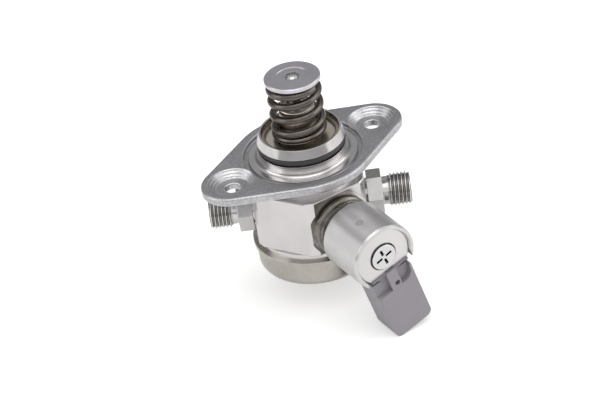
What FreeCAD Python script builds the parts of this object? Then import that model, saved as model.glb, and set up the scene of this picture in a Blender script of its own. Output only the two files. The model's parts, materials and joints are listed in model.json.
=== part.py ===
import FreeCAD, Part
import math
import os
import re
import Sketcher

# High pressure fuel pump: one plunger, a solenoid inlet valve on the side and
# a pressure damper under a drawn cover.
# Sizes are in millimetres. The origin is on the plunger's axis, in the face of
# the flange that meets the engine. +Z points out of the engine's side of the
# pump, towards the foot of the plunger, and +X at one of the two bolt holes.
# The three ports lie level in the body: the solenoid along -Y, and the two
# pipe fittings opposite each other.

SIZES = {
    # Fits
    "press_gap": 0.02,
    "slide_gap": 0.03,
    # Mounting flange
    "flange_thickness": 3.0,
    "bolt_spacing": 66.3,
    "bolt_hole_radius": 3.25,
    "lobe_radius": 28.0,
    "ear_radius": 12.3,
    "flange_opening_radius": 23.8,
    "flange_opening_depth": 1.8,
    "ear_well_radius": 9.5,
    "ear_well_floor_radius": 7.0,
    "ear_well_depth": 2.7,
    "terrace_drop": 0.9,
    "terrace_slope": 0.55,
    "terrace_width": 0.45,
    "ear_well_thickness": 2.7,
    "ear_boss_radius": 8.3,
    "flange_round": 0.8,
    # Spigot that locates the pump in the engine
    "ring_radius": 21.8,
    "ring_drop": 0.75,
    "flare_radius": 18.4,
    "land_radius": 17.5,
    "land_start": 0.9,
    "groove_start": 3.05,
    "groove_width": 3.3,
    "groove_floor_radius": 15.05,
    "cone_radius": 17.66,
    "rim_radius": 16.34,
    "spigot_height": 10.0,
    "rim_bore_radius": 15.6,
    "rim_bore_depth": 1.4,
    "seat_bore_radius": 14.0,
    "seat_bore_floor": 6.5,
    "vent_bore_radius": 12.4,
    "vent_bore_depth": 0.8,
    "ring_section_radius": 1.3,
    # Body below the flange
    "collar_radius": 23.0,
    "collar_thickness": 1.2,
    "neck_radius": 20.5,
    "block_start": 9.6,
    "block_length": 25.1,
    "block_radius": 25.0,
    "flat_distance": 22.5,
    "block_chamfer": 0.4,
    "waist_radius": 23.5,
    "waist_length": 3.0,
    "boss_length": 2.5,
    # Damper cover and the damper in it
    "cover_radius": 24.0,
    "cover_wall": 1.2,
    "cover_lip_radius": 25.15,
    "cover_lip_length": 2.0,
    "cover_length": 12.5,
    "cover_round": 3.0,
    "damper_radius": 19.5,
    "damper_rim_width": 1.6,
    "damper_sheet": 0.4,
    "damper_dome": 1.5,
    "damper_flat_radius": 9.0,
    "holder_radius": 19.4,
    "holder_sheet": 0.6,
    "holder_foot_width": 2.4,
    # Plunger, its cylinder and seal
    "plunger_radius": 5.0,
    "plunger_top": 19.5,
    "plunger_step": 4.4,
    "shank_radius": 2.9,
    "tip_radius": 2.5,
    "tip_length": 3.4,
    "plunger_foot": 34.9,
    "plunger_stroke": 5.0,
    "liner_radius": 8.5,
    "liner_head_radius": 10.0,
    "liner_head_length": 3.0,
    "liner_end": 18.4,
    "chamber_radius": 5.6,
    "chamber_clearance": 4.0,
    "carrier_sheet": 0.8,
    "carrier_radius": 13.9,
    "carrier_tube_radius": 7.0,
    "carrier_top": 21.4,
    "carrier_mouth_radius": 4.4,
    "seal_length": 4.6,
    "seal_wall": 1.1,
    "seal_ring_length": 1.6,
    # Return spring and its retainer
    "spring_mean_radius": 9.5,
    "spring_wire_radius": 1.5,
    "spring_turns": 4.0,
    "spring_closed_turns": 0.75,
    "spring_first_angle": 293.0,
    "retainer_radius": 11.1,
    "retainer_face": 34.5,
    "retainer_thickness": 2.15,
    "retainer_hub_radius": 6.0,
    "retainer_hub_length": 1.2,
    "retainer_step_radius": 6.4,
    "retainer_step_depth": 0.25,
    "retainer_mouth_radius": 3.05,
    "retainer_mouth_depth": 1.1,
    # Ports
    "port_height": 24.17,
    "outlet_angle": -30.0,
    "inlet_angle": 150.0,
    "port_bore_radius": 6.4,
    # Pipe fittings, measured out from the plunger's axis
    "outlet_valve_bore_radius": 4.4,
    "outlet_valve_floor": 10.5,
    "outlet_bore_floor": 16.6,
    "inlet_bore_floor": 12.0,
    "outlet_shank_start": 18.9,
    "inlet_shank_start": 16.4,
    "fitting_gap": 0.9,
    "fitting_waist_radius": 6.1,
    "hexagon_flats": 16.0,
    "hexagon_length": 6.0,
    "hexagon_crown": 0.3,
    "outlet_hexagon_angle": 20.0,
    "inlet_hexagon_angle": 40.0,
    "fitting_neck_radius": 5.75,
    "fitting_neck_length": 2.5,
    "thread_radius": 6.9,
    "thread_length": 9.0,
    "thread_chamfer": 0.9,
    "fitting_bore_radius": 2.6,
    "pipe_seat_radius": 4.3,
    "pipe_seat_depth": 2.9,
    "strainer_bore_radius": 4.2,
    "strainer_bore_length": 9.0,
    "strainer_radius": 3.3,
    "strainer_sheet": 0.35,
    "strainer_rim_length": 1.2,
    # Outlet valve
    "outlet_seat_length": 2.4,
    "outlet_seat_hole_radius": 1.3,
    "outlet_ball_radius": 1.7,
    "outlet_ball_stand": 0.35,
    "outlet_cage_radius": 2.9,
    "outlet_cage_sheet": 0.5,
    "outlet_cage_length": 5.8,
    "outlet_spring_radius": 1.25,
    "outlet_wire_radius": 0.25,
    # Relief valve between the outlet bore and the damper's space
    "relief_offset": 14.4,
    "relief_bore_radius": 2.6,
    "relief_bore_top": 31.9,
    "relief_seat_radius": 0.75,
    "relief_ball_radius": 1.2,
    "relief_cup_radius": 1.9,
    "relief_cup_length": 1.7,
    "relief_plug_length": 1.5,
    "relief_plug_hole_radius": 1.1,
    "relief_spring_radius": 1.4,
    "relief_wire_radius": 0.3,
    # Passages
    "inlet_passage_offset": 14.0,
    "inlet_passage_radius": 2.2,
    "valve_passage_offset": 15.3,
    "valve_passage_radius": 1.8,
    "vent_passage_offset": 11.0,
    "vent_passage_radius": 0.9,
    # Inlet valve, measured out from the plunger's axis
    "valve_mouth_radius": 3.9,
    "valve_small_radius": 5.5,
    "valve_small_floor": 6.7,
    "valve_bore_radius": 9.0,
    "valve_bore_floor": 12.0,
    "spot_face_radius": 13.8,
    "spot_face_floor": 21.4,
    "valve_stop_thickness": 1.2,
    "valve_stop_wall": 0.8,
    "valve_stop_holes": 4,
    "valve_plate_radius": 4.2,
    "valve_plate_thickness": 0.9,
    "valve_seat_face": 10.6,
    "valve_plate_lift": 0.4,
    "valve_seat_hole_radius": 2.2,
    "valve_spring_radius": 2.2,
    "valve_wire_radius": 0.18,
    # Solenoid base
    "base_collar_radius": 12.6,
    "base_collar_end": 25.5,
    "base_neck_radius": 11.0,
    "base_step_radius": 11.7,
    "base_step_length": 1.6,
    "gallery_start": 13.0,
    "gallery_length": 4.0,
    "gallery_radius": 3.3,
    "gallery_groove_radius": 7.4,
    "gallery_holes": 4,
    "gallery_hole_radius": 1.1,
    "base_ring_groove_start": 18.0,
    "base_ring_groove_width": 2.1,
    "base_ring_groove_radius": 7.3,
    "base_ring_radius": 0.82,
    "sleeve_seat": 24.0,
    # Solenoid
    "needle_radius": 1.2,
    "armature_start": 26.0,
    "armature_length": 12.6,
    "armature_radius": 5.57,
    "armature_lift": 0.45,
    "core_stop_gap": 0.15,
    "sleeve_wall": 0.6,
    "sleeve_end": 49.0,
    "core_head_start": 49.6,
    "core_head_radius": 5.7,
    "core_head_end": 52.7,
    "stake_angle": 20.0,
    "stake_start": 0.9,
    "stake_length": 2.8,
    "stake_width": 1.1,
    "stake_depth": 1.0,
    "spring_pocket_radius": 2.2,
    "spring_pocket_depth": 4.5,
    "armature_spring_radius": 1.6,
    "armature_wire_radius": 0.3,
    "can_radius": 13.7,
    "can_wall": 2.0,
    "can_start": 30.6,
    "can_end": 53.4,
    "can_back": 1.6,
    "can_round": 0.7,
    "can_cut_half_width": 10.8,
    "can_cut_start": 39.7,
    "can_hole_radius": 1.65,
    "can_hole_place": 43.4,
    "coil_clearance": 0.9,
    "coil_flange_thickness": 1.0,
    "coil_tube_wall": 0.8,
    "coil_end": 50.3,
    "coil_wire_drop": 0.5,
    "moulding_overlap": 0.1,
    "plug_recess": 0.15,
    "plate_start": 50.5,
    "plate_thickness": 1.5,
    "plate_chord": 7.7,
    "plate_notch_chord": 6.85,
    "plate_notch_half_width": 2.0,
    # Electrical connector, measured down from the solenoid's axis
    "connector_angle": -75.0,
    "connector_half_width": 8.85,
    "connector_back": 39.9,
    "connector_front": 53.0,
    "connector_end": 39.8,
    "connector_round": 2.6,
    "socket_depth": 10.8,
    "socket_half_width": 6.9,
    "socket_back": 42.0,
    "socket_front": 50.6,
    "pocket_near": 8.4,
    "pocket_far": 17.0,
    "pocket_rib_half_width": 2.4,
    "pocket_outer": 8.0,
    "pocket_depth": 2.2,
    "pin_half_width": 0.75,
    "pin_thickness": 0.8,
    "pin_offset": 2.5,
    "pin_root": 26.5,
    "pin_tip": 34.4,
}

doc = FreeCAD.newDocument("fuel_pump")
sheet = doc.addObject("Spreadsheet::Sheet", "Sizes")
for row, (alias, number) in enumerate(SIZES.items(), start=1):
    sheet.set("A%d" % row, alias)
    sheet.set("B%d" % row, str(number))
    sheet.setAlias("B%d" % row, alias)
doc.recompute()

finished = []


def linked(text):
    """Put the sheet's name before each size in an expression."""
    def name_sheet(found):
        word = found.group()
        return "Sizes." + word if word in SIZES else word
    return re.sub("[a-z][a-z0-9_]*", name_sheet, text)


def bind(thing, setting, text):
    thing.setExpression(setting, linked(text))


def put(thing, x="0", y="0", z="0", turn=None):
    """Turn a piece about its own origin, then move it."""
    if turn is not None:
        thing.Placement = FreeCAD.Placement(FreeCAD.Vector(), turn)
    for axis, text in (("x", x), ("y", y), ("z", z)):
        if text != "0":
            bind(thing, "Placement.Base." + axis, text)
    return thing


def rod(name, radius, length, x="0", y="0", z="0", turn=None):
    """A cylinder along its own Z."""
    thing = doc.addObject("Part::Cylinder", name)
    bind(thing, "Radius", radius)
    bind(thing, "Height", length)
    return put(thing, x, y, z, turn)


def block(name, width, depth, height, x="0", y="0", z="0", turn=None):
    """A box with its low corner at the given place."""
    thing = doc.addObject("Part::Box", name)
    bind(thing, "Length", width)
    bind(thing, "Width", depth)
    bind(thing, "Height", height)
    return put(thing, x, y, z, turn)


def ball(name, radius, x="0", y="0", z="0"):
    thing = doc.addObject("Part::Sphere", name)
    bind(thing, "Radius", radius)
    return put(thing, x, y, z)


def hexagon(name, across_flats, length, z="0", turn=None):
    thing = doc.addObject("Part::Prism", name)
    thing.Polygon = 6
    bind(thing, "Circumradius", "(%s) / 2 / cos(30 deg)" % across_flats)
    bind(thing, "Height", length)
    return put(thing, z=z, turn=turn)


def joined(name, *pieces):
    thing = doc.addObject("Part::MultiFuse", name)
    thing.Shapes = list(pieces)
    thing.Refine = True
    return thing


def cut(name, base, *tools):
    thing = doc.addObject("Part::Cut", name)
    thing.Base = base
    thing.Tool = tools[0] if len(tools) == 1 else joined(name + "_tools", *tools)
    thing.Refine = True
    return thing


def shared(name, first, second):
    """What two pieces have in common."""
    thing = doc.addObject("Part::Common", name)
    thing.Base = first
    thing.Tool = second
    thing.Refine = True
    return thing


def origin_plane(body, role):
    return [plane for plane in body.Origin.OriginFeatures if plane.Role == role][0]


def pin_corner(sketch, line, across, up):
    """Hold a line's first end at a distance and height from the origin."""
    if across == "0":
        sketch.addConstraint(Sketcher.Constraint("PointOnObject", line, 1, -2))
    else:
        number = sketch.addConstraint(Sketcher.Constraint("DistanceX", -1, 1, line, 1, 1.0))
        bind(sketch, "Constraints[%d]" % number, across)
    if up == "0":
        sketch.addConstraint(Sketcher.Constraint("PointOnObject", line, 1, -1))
    else:
        number = sketch.addConstraint(Sketcher.Constraint("DistanceY", -1, 1, line, 1, 1.0))
        bind(sketch, "Constraints[%d]" % number, up)


def outline_sketch(body, name, role, corners):
    """A closed outline of straight lines through the given corners."""
    sketch = body.newObject("Sketcher::SketchObject", name)
    sketch.AttachmentSupport = [(origin_plane(body, role), "")]
    sketch.MapMode = "FlatFace"
    spread = [FreeCAD.Vector(5 + number, number * number, 0) for number in range(len(corners))]
    for number, start in enumerate(spread):
        sketch.addGeometry(Part.LineSegment(start, spread[(number + 1) % len(corners)]), False)
    for number in range(len(corners)):
        following = (number + 1) % len(corners)
        sketch.addConstraint(Sketcher.Constraint("Coincident", number, 2, following, 1))
    for number, (across, up) in enumerate(corners):
        pin_corner(sketch, number, across, up)
    return sketch


def ring_edges(shape, corner):
    """The round edges that an outline's corner makes when it is turned."""
    names = []
    for number, edge in enumerate(shape.Edges, start=1):
        curve = edge.Curve
        if not isinstance(curve, Part.Circle):
            continue
        if abs(curve.Radius - corner.x) < 0.001 and abs(curve.Center.z - corner.y) < 0.001:
            names.append("Edge%d" % number)
    return names


def turned(name, corners, rounds=()):
    """Turn an outline of (radius, height) corners about Z, then round the
    corners that are listed with a radius."""
    body = doc.addObject("PartDesign::Body", name)
    sketch = outline_sketch(body, name + "_outline", "XZ_Plane", corners)
    turn = body.newObject("PartDesign::Revolution", name + "_turn")
    turn.Profile = sketch
    turn.ReferenceAxis = (sketch, ["V_Axis"])
    turn.Angle = 360
    sketch.Visibility = False
    doc.recompute()
    last = turn
    for order, (corner, radius) in enumerate(rounds):
        edges = ring_edges(last.Shape, sketch.Geometry[corner].StartPoint)
        fillet = body.newObject("PartDesign::Fillet", "%s_round_%d" % (name, order))
        fillet.Base = (last, edges)
        bind(fillet, "Radius", radius)
        doc.recompute()
        last = fillet
    body.Tip = last
    return body


def wound_spring(name, mean_radius, wire_radius, low, high, turns, closed_turns, first_angle):
    """A right-handed compression spring along Z with closed ends, that fills
    the height from low to high."""
    points = []
    steps_per_turn = 12
    steps = int(round(turns * steps_per_turn))
    closed_rise = 2.06 * wire_radius * closed_turns
    open_turns = turns - 2 * closed_turns
    travel = high - low - 2 * wire_radius
    for step in range(steps + 1):
        turn = turns * step / steps
        if turn <= closed_turns:
            rise = closed_rise * turn / closed_turns
        elif turn >= turns - closed_turns:
            rise = travel - closed_rise * (turns - turn) / closed_turns
        else:
            rise = closed_rise + (travel - 2 * closed_rise) * (turn - closed_turns) / open_turns
        angle = math.radians(first_angle) + 2 * math.pi * turn
        across = mean_radius * math.cos(angle)
        along = mean_radius * math.sin(angle)
        points.append(FreeCAD.Vector(across, along, low + wire_radius + rise))
    line = Part.BSplineCurve()
    line.interpolate(points)
    path = Part.Wire([line.toShape()])
    start = line.tangent(line.FirstParameter)[0]
    wire = Part.Wire([Part.Circle(points[0], start, wire_radius).toShape()])
    thing = doc.addObject("Part::Feature", name)
    thing.Shape = path.makePipeShell([wire], True, True)
    return thing


def keep(thing, node, turn=None, z=None):
    """Name a finished sub-part and put it in its place."""
    thing.Label = node
    if turn is not None:
        thing.Placement = FreeCAD.Placement(FreeCAD.Vector(), turn)
    if z is not None:
        bind(thing, "Placement.Base.z", z)
    finished.append(thing)
    return thing


def level_turn(angle):
    """Lay a piece's own Z level, pointing out at an angle from +X."""
    upright = FreeCAD.Rotation(FreeCAD.Vector(0, 1, 0), 90)
    return FreeCAD.Rotation(FreeCAD.Vector(0, 0, 1), angle) * upright


# The solenoid's own Z is the pump's -Y, and its own X and Y are the pump's X and Z.
SOLENOID_TURN = FreeCAD.Rotation(FreeCAD.Vector(1, 0, 0), 90)
OUTLET_TURN = level_turn(SIZES["outlet_angle"])
INLET_TURN = level_turn(SIZES["inlet_angle"])
CHAMBER_FLOOR = "(plunger_top + plunger_stroke + chamber_clearance)"
COIL_FLANGE = "(can_radius - can_wall - coil_clearance)"
PORT_PLACE = "-port_height"


def keep_solenoid(thing, node):
    return keep(thing, node, SOLENOID_TURN, PORT_PLACE)


def keep_outlet(thing, node):
    return keep(thing, node, OUTLET_TURN, PORT_PLACE)


def keep_inlet(thing, node):
    return keep(thing, node, INLET_TURN, PORT_PLACE)


# Heights that several pieces share
GROOVE_END = "(groove_start + groove_width)"
BLOCK_END = "(block_start + block_length)"
COVER_LIP = "(block_start + block_length + waist_length)"
BOSS_END = "(block_start + block_length + waist_length + boss_length)"
COVER_FLOOR = "(block_start + block_length + waist_length + cover_length)"
COVER_BORE = "(cover_radius - cover_wall)"


def make_housing():
    """The body: one turned bar with its spigot, six milled flats and bored ports."""
    turned_bar = turned("housing_bar", [
        ("0", "-" + BOSS_END),
        (COVER_BORE + " - press_gap", "-" + BOSS_END),
        (COVER_BORE + " - press_gap", "-" + COVER_LIP),
        ("waist_radius", "-" + COVER_LIP),
        ("waist_radius", "-" + BLOCK_END),
        ("block_radius - block_chamfer", "-" + BLOCK_END),
        ("block_radius", "-" + BLOCK_END + " + block_chamfer"),
        ("block_radius", "-block_start - block_chamfer"),
        ("block_radius - block_chamfer", "-block_start"),
        ("neck_radius", "-block_start"),
        ("neck_radius", "-flange_thickness - collar_thickness"),
        ("collar_radius", "-flange_thickness - collar_thickness"),
        ("collar_radius", "-flange_thickness"),
        ("ring_radius", "-flange_thickness"),
        ("ring_radius", "-ring_drop"),
        ("flare_radius", "-ring_drop"),
        ("flare_radius", "land_start"),
        ("land_radius", "land_start"),
        ("land_radius", "groove_start"),
        ("groove_floor_radius", "groove_start"),
        ("groove_floor_radius", GROOVE_END),
        ("cone_radius", GROOVE_END),
        ("rim_radius", "spigot_height"),
        ("rim_bore_radius", "spigot_height"),
        ("rim_bore_radius", "spigot_height - rim_bore_depth"),
        ("seat_bore_radius", "spigot_height - rim_bore_depth"),
        ("seat_bore_radius", "seat_bore_floor"),
        ("vent_bore_radius", "seat_bore_floor"),
        ("vent_bore_radius", "seat_bore_floor - vent_bore_depth"),
        ("liner_head_radius + press_gap", "seat_bore_floor - vent_bore_depth"),
        ("liner_head_radius + press_gap", "seat_bore_floor - vent_bore_depth - liner_head_length"),
        ("liner_radius + press_gap", "seat_bore_floor - vent_bore_depth - liner_head_length"),
        ("liner_radius + press_gap", "-liner_end"),
        ("chamber_radius", "-liner_end"),
        ("chamber_radius", "-" + CHAMBER_FLOOR),
        ("0", "-" + CHAMBER_FLOOR),
    ], rounds=[(15, "ring_drop * 1.6")])
    hexagon_bar = hexagon("flats_bar", "2 * flat_distance", "block_length", z="-" + BLOCK_END)
    doc.recompute()
    chamfered = doc.addObject("Part::Chamfer", "flats_bar_chamfer")
    chamfered.Base = hexagon_bar
    chamfer = SIZES["block_chamfer"]
    level = []
    for number, edge in enumerate(hexagon_bar.Shape.Edges, start=1):
        ends = [vertex.Z for vertex in edge.Vertexes]
        if abs(ends[0] - ends[1]) < 0.001:
            level.append((number, chamfer, chamfer))
    chamfered.Edges = level
    around = rod("flats_around", "block_radius + 2", "block_length", z="-" + BLOCK_END)
    flats = cut("flats_cutter", around, chamfered)

    port = PORT_PLACE
    outlet = SIZES["outlet_angle"]
    inlet = SIZES["inlet_angle"]
    far = "block_radius + 1"
    tools = [
        flats,
        level_rod("spot_face", -90, "spot_face_radius", "spot_face_floor", far),
        level_rod("valve_bore", -90, "valve_bore_radius", "valve_bore_floor", far),
        level_rod("valve_small_bore", -90, "valve_small_radius", "valve_small_floor", far),
        level_rod("valve_mouth", -90, "valve_mouth_radius", "0", far),
        level_rod("outlet_bore", outlet, "port_bore_radius", "outlet_bore_floor", far),
        level_rod("outlet_valve_bore", outlet, "outlet_valve_bore_radius", "outlet_valve_floor", far),
        level_rod("outlet_drilling", outlet, "outlet_seat_hole_radius", "0", far),
        level_rod("inlet_bore", inlet, "port_bore_radius", "inlet_bore_floor", far),
    ]
    relief = port_point(outlet, "relief_offset")
    tools.append(rod("relief_bore", "relief_bore_radius", BOSS_END + " - relief_bore_top",
                     relief[0], relief[1], "-" + BOSS_END))
    tools.append(rod("relief_hole", "relief_seat_radius", "relief_bore_top - port_height",
                     relief[0], relief[1], "-relief_bore_top"))
    passage = port_point(inlet, "inlet_passage_offset")
    tools.append(rod("inlet_passage", "inlet_passage_radius", BOSS_END + " - port_height",
                     passage[0], passage[1], "-" + BOSS_END))
    tools.append(rod("valve_passage", "valve_passage_radius", BOSS_END + " - port_height",
                     "0", "-valve_passage_offset", "-" + BOSS_END))
    tools.append(rod("vent_passage", "vent_passage_radius", BOSS_END + " + seat_bore_floor",
                     "0", "vent_passage_offset", "-" + BOSS_END))
    keep(cut("housing", turned_bar, *tools), "pump_housing")


def port_point(angle, offset):
    """Where a point on a port's axis is, across and along, as expressions."""
    return ("(%s) * cos(%g deg)" % (offset, angle), "(%s) * sin(%g deg)" % (offset, angle))


def level_rod(name, angle, radius, start, end):
    """A level cylinder on a port's axis, from start to end out from the plunger."""
    across, along = ("0", "0") if start == "0" else port_point(angle, start)
    return rod(name, radius, "(%s) - (%s)" % (end, start), across, along, PORT_PLACE, level_turn(angle))


def make_flange():
    """The pressed flange: a round lobe and two ears with straight sides between
    them, and a coined dish round each bolt hole."""
    body = doc.addObject("PartDesign::Body", "flange_plate")
    sketch = body.newObject("Sketcher::SketchObject", "flange_outline")
    sketch.AttachmentSupport = [(origin_plane(body, "XY_Plane"), "")]
    sketch.MapMode = "FlatFace"
    lobe = SIZES["lobe_radius"]
    ear = SIZES["ear_radius"]
    reach = SIZES["bolt_spacing"] / 2
    lean = math.acos((lobe - ear) / reach)
    up = FreeCAD.Vector(0, 0, 1)
    centre = FreeCAD.Vector(0, 0, 0)
    right = FreeCAD.Vector(reach, 0, 0)
    left = FreeCAD.Vector(-reach, 0, 0)

    def on(middle, radius, angle):
        return middle + FreeCAD.Vector(radius * math.cos(angle), radius * math.sin(angle), 0)

    right_ear = Part.ArcOfCircle(Part.Circle(right, up, ear), -lean, lean)
    far_side = Part.ArcOfCircle(Part.Circle(centre, up, lobe), lean, math.pi - lean)
    left_ear = Part.ArcOfCircle(Part.Circle(left, up, ear), math.pi - lean, math.pi + lean)
    near_side = Part.ArcOfCircle(Part.Circle(centre, up, lobe), math.pi + lean, 2 * math.pi - lean)
    sides = [
        Part.LineSegment(on(right, ear, lean), on(centre, lobe, lean)),
        Part.LineSegment(on(centre, lobe, math.pi - lean), on(left, ear, math.pi - lean)),
        Part.LineSegment(on(left, ear, math.pi + lean), on(centre, lobe, math.pi + lean)),
        Part.LineSegment(on(centre, lobe, -lean), on(right, ear, -lean)),
    ]
    for shape in (right_ear, sides[0], far_side, sides[1], left_ear, sides[2], near_side, sides[3]):
        sketch.addGeometry(shape, False)
    for number in range(8):
        following = (number + 1) % 8
        sketch.addConstraint(Sketcher.Constraint("Tangent", number, 2, following, 1))
    for number in (2, 6):
        sketch.addConstraint(Sketcher.Constraint("Coincident", number, 3, -1, 1))
        held = sketch.addConstraint(Sketcher.Constraint("Radius", number, lobe))
        bind(sketch, "Constraints[%d]" % held, "lobe_radius")
    for number, side in ((0, "1"), (4, "-1")):
        sketch.addConstraint(Sketcher.Constraint("PointOnObject", number, 3, -1))
        place = Sketcher.Constraint("DistanceX", -1, 1, number, 3, float(side) * reach)
        held = sketch.addConstraint(place)
        bind(sketch, "Constraints[%d]" % held, side + " * bolt_spacing / 2")
        held = sketch.addConstraint(Sketcher.Constraint("Radius", number, ear))
        bind(sketch, "Constraints[%d]" % held, "ear_radius")
    plate = body.newObject("PartDesign::Pad", "flange_pad")
    plate.Profile = sketch
    bind(plate, "Length", "flange_thickness")
    plate.Reversed = True
    doc.recompute()
    rounding = body.newObject("PartDesign::Fillet", "flange_rounding")
    top = []
    for number, edge in enumerate(plate.Shape.Edges, start=1):
        if all(abs(vertex.Z) < 0.001 for vertex in edge.Vertexes):
            top.append("Edge%d" % number)
    rounding.Base = (plate, top)
    bind(rounding, "Radius", "flange_round")
    body.Tip = rounding

    bosses = []
    cuts = []
    for side, name in (("1", "right"), ("-1", "left")):
        across = side + " * bolt_spacing / 2"
        bosses.append(rod(name + "_boss", "ear_boss_radius", "ear_well_depth + ear_well_thickness", across,
                          "0", "-ear_well_depth - ear_well_thickness"))
        well = turned(name + "_well", [
            ("0", "ear_well_depth"),
            ("ear_well_radius", "ear_well_depth"),
            ("ear_well_radius", "0"),
            ("ear_well_radius - terrace_slope", "-terrace_drop"),
            ("ear_well_radius - terrace_slope - terrace_width", "-terrace_drop"),
            ("ear_well_radius - 2 * terrace_slope - terrace_width", "-2 * terrace_drop"),
            ("ear_well_floor_radius + terrace_slope", "-2 * terrace_drop"),
            ("ear_well_floor_radius", "-ear_well_depth"),
            ("0", "-ear_well_depth"),
        ])
        cuts.append(put(well, across))
        cuts.append(rod(name + "_bolt_hole", "bolt_hole_radius", "2 * (ear_well_depth + ear_well_thickness)",
                        across, "0", "-2 * (ear_well_depth + ear_well_thickness)"))
    cuts.append(rod("flange_opening", "flange_opening_radius", "flange_opening_depth", "0", "0",
                    "-flange_opening_depth"))
    cuts.append(rod("flange_weld_bore", "ring_radius + press_gap", "flange_thickness", "0", "0",
                    "-flange_thickness"))
    keep(cut("flange", joined("flange_blank", body, *bosses), *cuts), "mounting_flange")


def make_rings():
    """The two rubber rings, each in its groove."""
    spigot_ring = doc.addObject("Part::Torus", "spigot_ring")
    bind(spigot_ring, "Radius1", "groove_floor_radius + ring_section_radius")
    bind(spigot_ring, "Radius2", "ring_section_radius")
    keep(put(spigot_ring, z="groove_start + groove_width / 2"), "spigot_o_ring")
    base_ring = doc.addObject("Part::Torus", "base_ring")
    bind(base_ring, "Radius1", "base_ring_groove_radius + base_ring_radius")
    bind(base_ring, "Radius2", "base_ring_radius")
    along = "-base_ring_groove_start - base_ring_groove_width / 2"
    base_ring.Placement = FreeCAD.Placement(FreeCAD.Vector(), SOLENOID_TURN)
    bind(base_ring, "Placement.Base.y", along)
    keep(base_ring, "solenoid_o_ring", z=PORT_PLACE)


def make_plunger_group():
    """The plunger, its cylinder, its seal and what holds the seal."""
    liner_top = "seat_bore_floor - vent_bore_depth"
    keep(turned("liner", [
        ("plunger_radius + slide_gap", "-liner_end"),
        ("liner_radius", "-liner_end"),
        ("liner_radius", liner_top + " - liner_head_length"),
        ("liner_head_radius", liner_top + " - liner_head_length"),
        ("liner_head_radius", liner_top + " - 0.6"),
        ("liner_head_radius - 0.6", liner_top),
        ("plunger_radius + slide_gap + 0.5", liner_top),
        ("plunger_radius + slide_gap", liner_top + " - 0.5"),
    ]), "cylinder_liner")
    keep(turned("plunger_bar", [
        ("0", "-plunger_top"),
        ("plunger_radius - 0.3", "-plunger_top"),
        ("plunger_radius", "-plunger_top + 0.3"),
        ("plunger_radius", "plunger_step"),
        ("shank_radius", "plunger_step + plunger_radius - shank_radius"),
        ("shank_radius", "plunger_foot - tip_length"),
        ("tip_radius", "plunger_foot - tip_length"),
        ("tip_radius", "plunger_foot - 0.8"),
        ("tip_radius * 0.72", "plunger_foot - 0.2"),
        ("tip_radius * 0.3", "plunger_foot"),
        ("0", "plunger_foot"),
    ]), "plunger")
    seat = "seat_bore_floor"
    tube_bore = "carrier_tube_radius - carrier_sheet"
    keep(turned("carrier", [
        ("carrier_radius", seat),
        ("carrier_radius", seat + " + carrier_sheet"),
        ("carrier_tube_radius", seat + " + carrier_sheet"),
        ("carrier_tube_radius", "carrier_top"),
        ("carrier_mouth_radius", "carrier_top"),
        ("carrier_mouth_radius", "carrier_top - carrier_sheet"),
        (tube_bore, "carrier_top - carrier_sheet"),
        (tube_bore, seat),
    ], rounds=[(2, "carrier_sheet * 0.8"), (3, "carrier_sheet * 0.9")]), "seal_carrier")
    seal_outer = tube_bore + " - press_gap"
    seal_end = "carrier_top - carrier_sheet"
    keep(turned("seal", [
        (seal_outer, seal_end),
        ("shank_radius + seal_wall", seal_end),
        ("shank_radius + slide_gap", seal_end + " - 0.5"),
        ("shank_radius + slide_gap", seal_end + " - seal_length * 0.35"),
        ("shank_radius + seal_wall", seal_end + " - seal_length * 0.45"),
        ("shank_radius + seal_wall", seal_end + " - seal_length * 0.65"),
        ("shank_radius + slide_gap", seal_end + " - seal_length * 0.75"),
        ("shank_radius + slide_gap", seal_end + " - seal_length + 0.3"),
        ("shank_radius + seal_wall", seal_end + " - seal_length"),
        (seal_outer, seal_end + " - seal_length"),
    ]), "plunger_seal")
    ring_top = seal_end + " - seal_length"
    keep(turned("seal_ring", [
        ("shank_radius + 0.8", ring_top + " - carrier_sheet"),
        (seal_outer + " - carrier_sheet", ring_top + " - carrier_sheet"),
        (seal_outer + " - carrier_sheet", ring_top + " - seal_ring_length"),
        (seal_outer, ring_top + " - seal_ring_length"),
        (seal_outer, ring_top),
        ("shank_radius + 0.8", ring_top),
    ]), "seal_retaining_ring")


def make_return_spring():
    """The return spring and the retainer pressed on the plunger's end."""
    face = "retainer_face"
    under = "retainer_face - retainer_thickness"
    keep(turned("retainer", [
        ("tip_radius + press_gap", "plunger_foot - tip_length"),
        ("retainer_hub_radius - 0.5", "plunger_foot - tip_length"),
        ("retainer_hub_radius", under),
        ("retainer_radius - 0.7", under),
        ("retainer_radius", under + " + 0.6"),
        ("retainer_radius", face + " - 0.35"),
        ("retainer_radius - 0.35", face),
        ("retainer_step_radius", face),
        ("retainer_step_radius", face + " - retainer_step_depth"),
        ("retainer_mouth_radius", face + " - retainer_step_depth"),
        ("retainer_mouth_radius", face + " - retainer_mouth_depth"),
        ("tip_radius + press_gap", face + " - retainer_mouth_depth"),
    ]), "spring_retainer")
    low = SIZES["seat_bore_floor"] + SIZES["carrier_sheet"]
    high = SIZES["retainer_face"] - SIZES["retainer_thickness"]
    spring = wound_spring("spring", SIZES["spring_mean_radius"], SIZES["spring_wire_radius"],
                          low, high, SIZES["spring_turns"], SIZES["spring_closed_turns"],
                          SIZES["spring_first_angle"])
    keep(spring, "return_spring")


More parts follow.
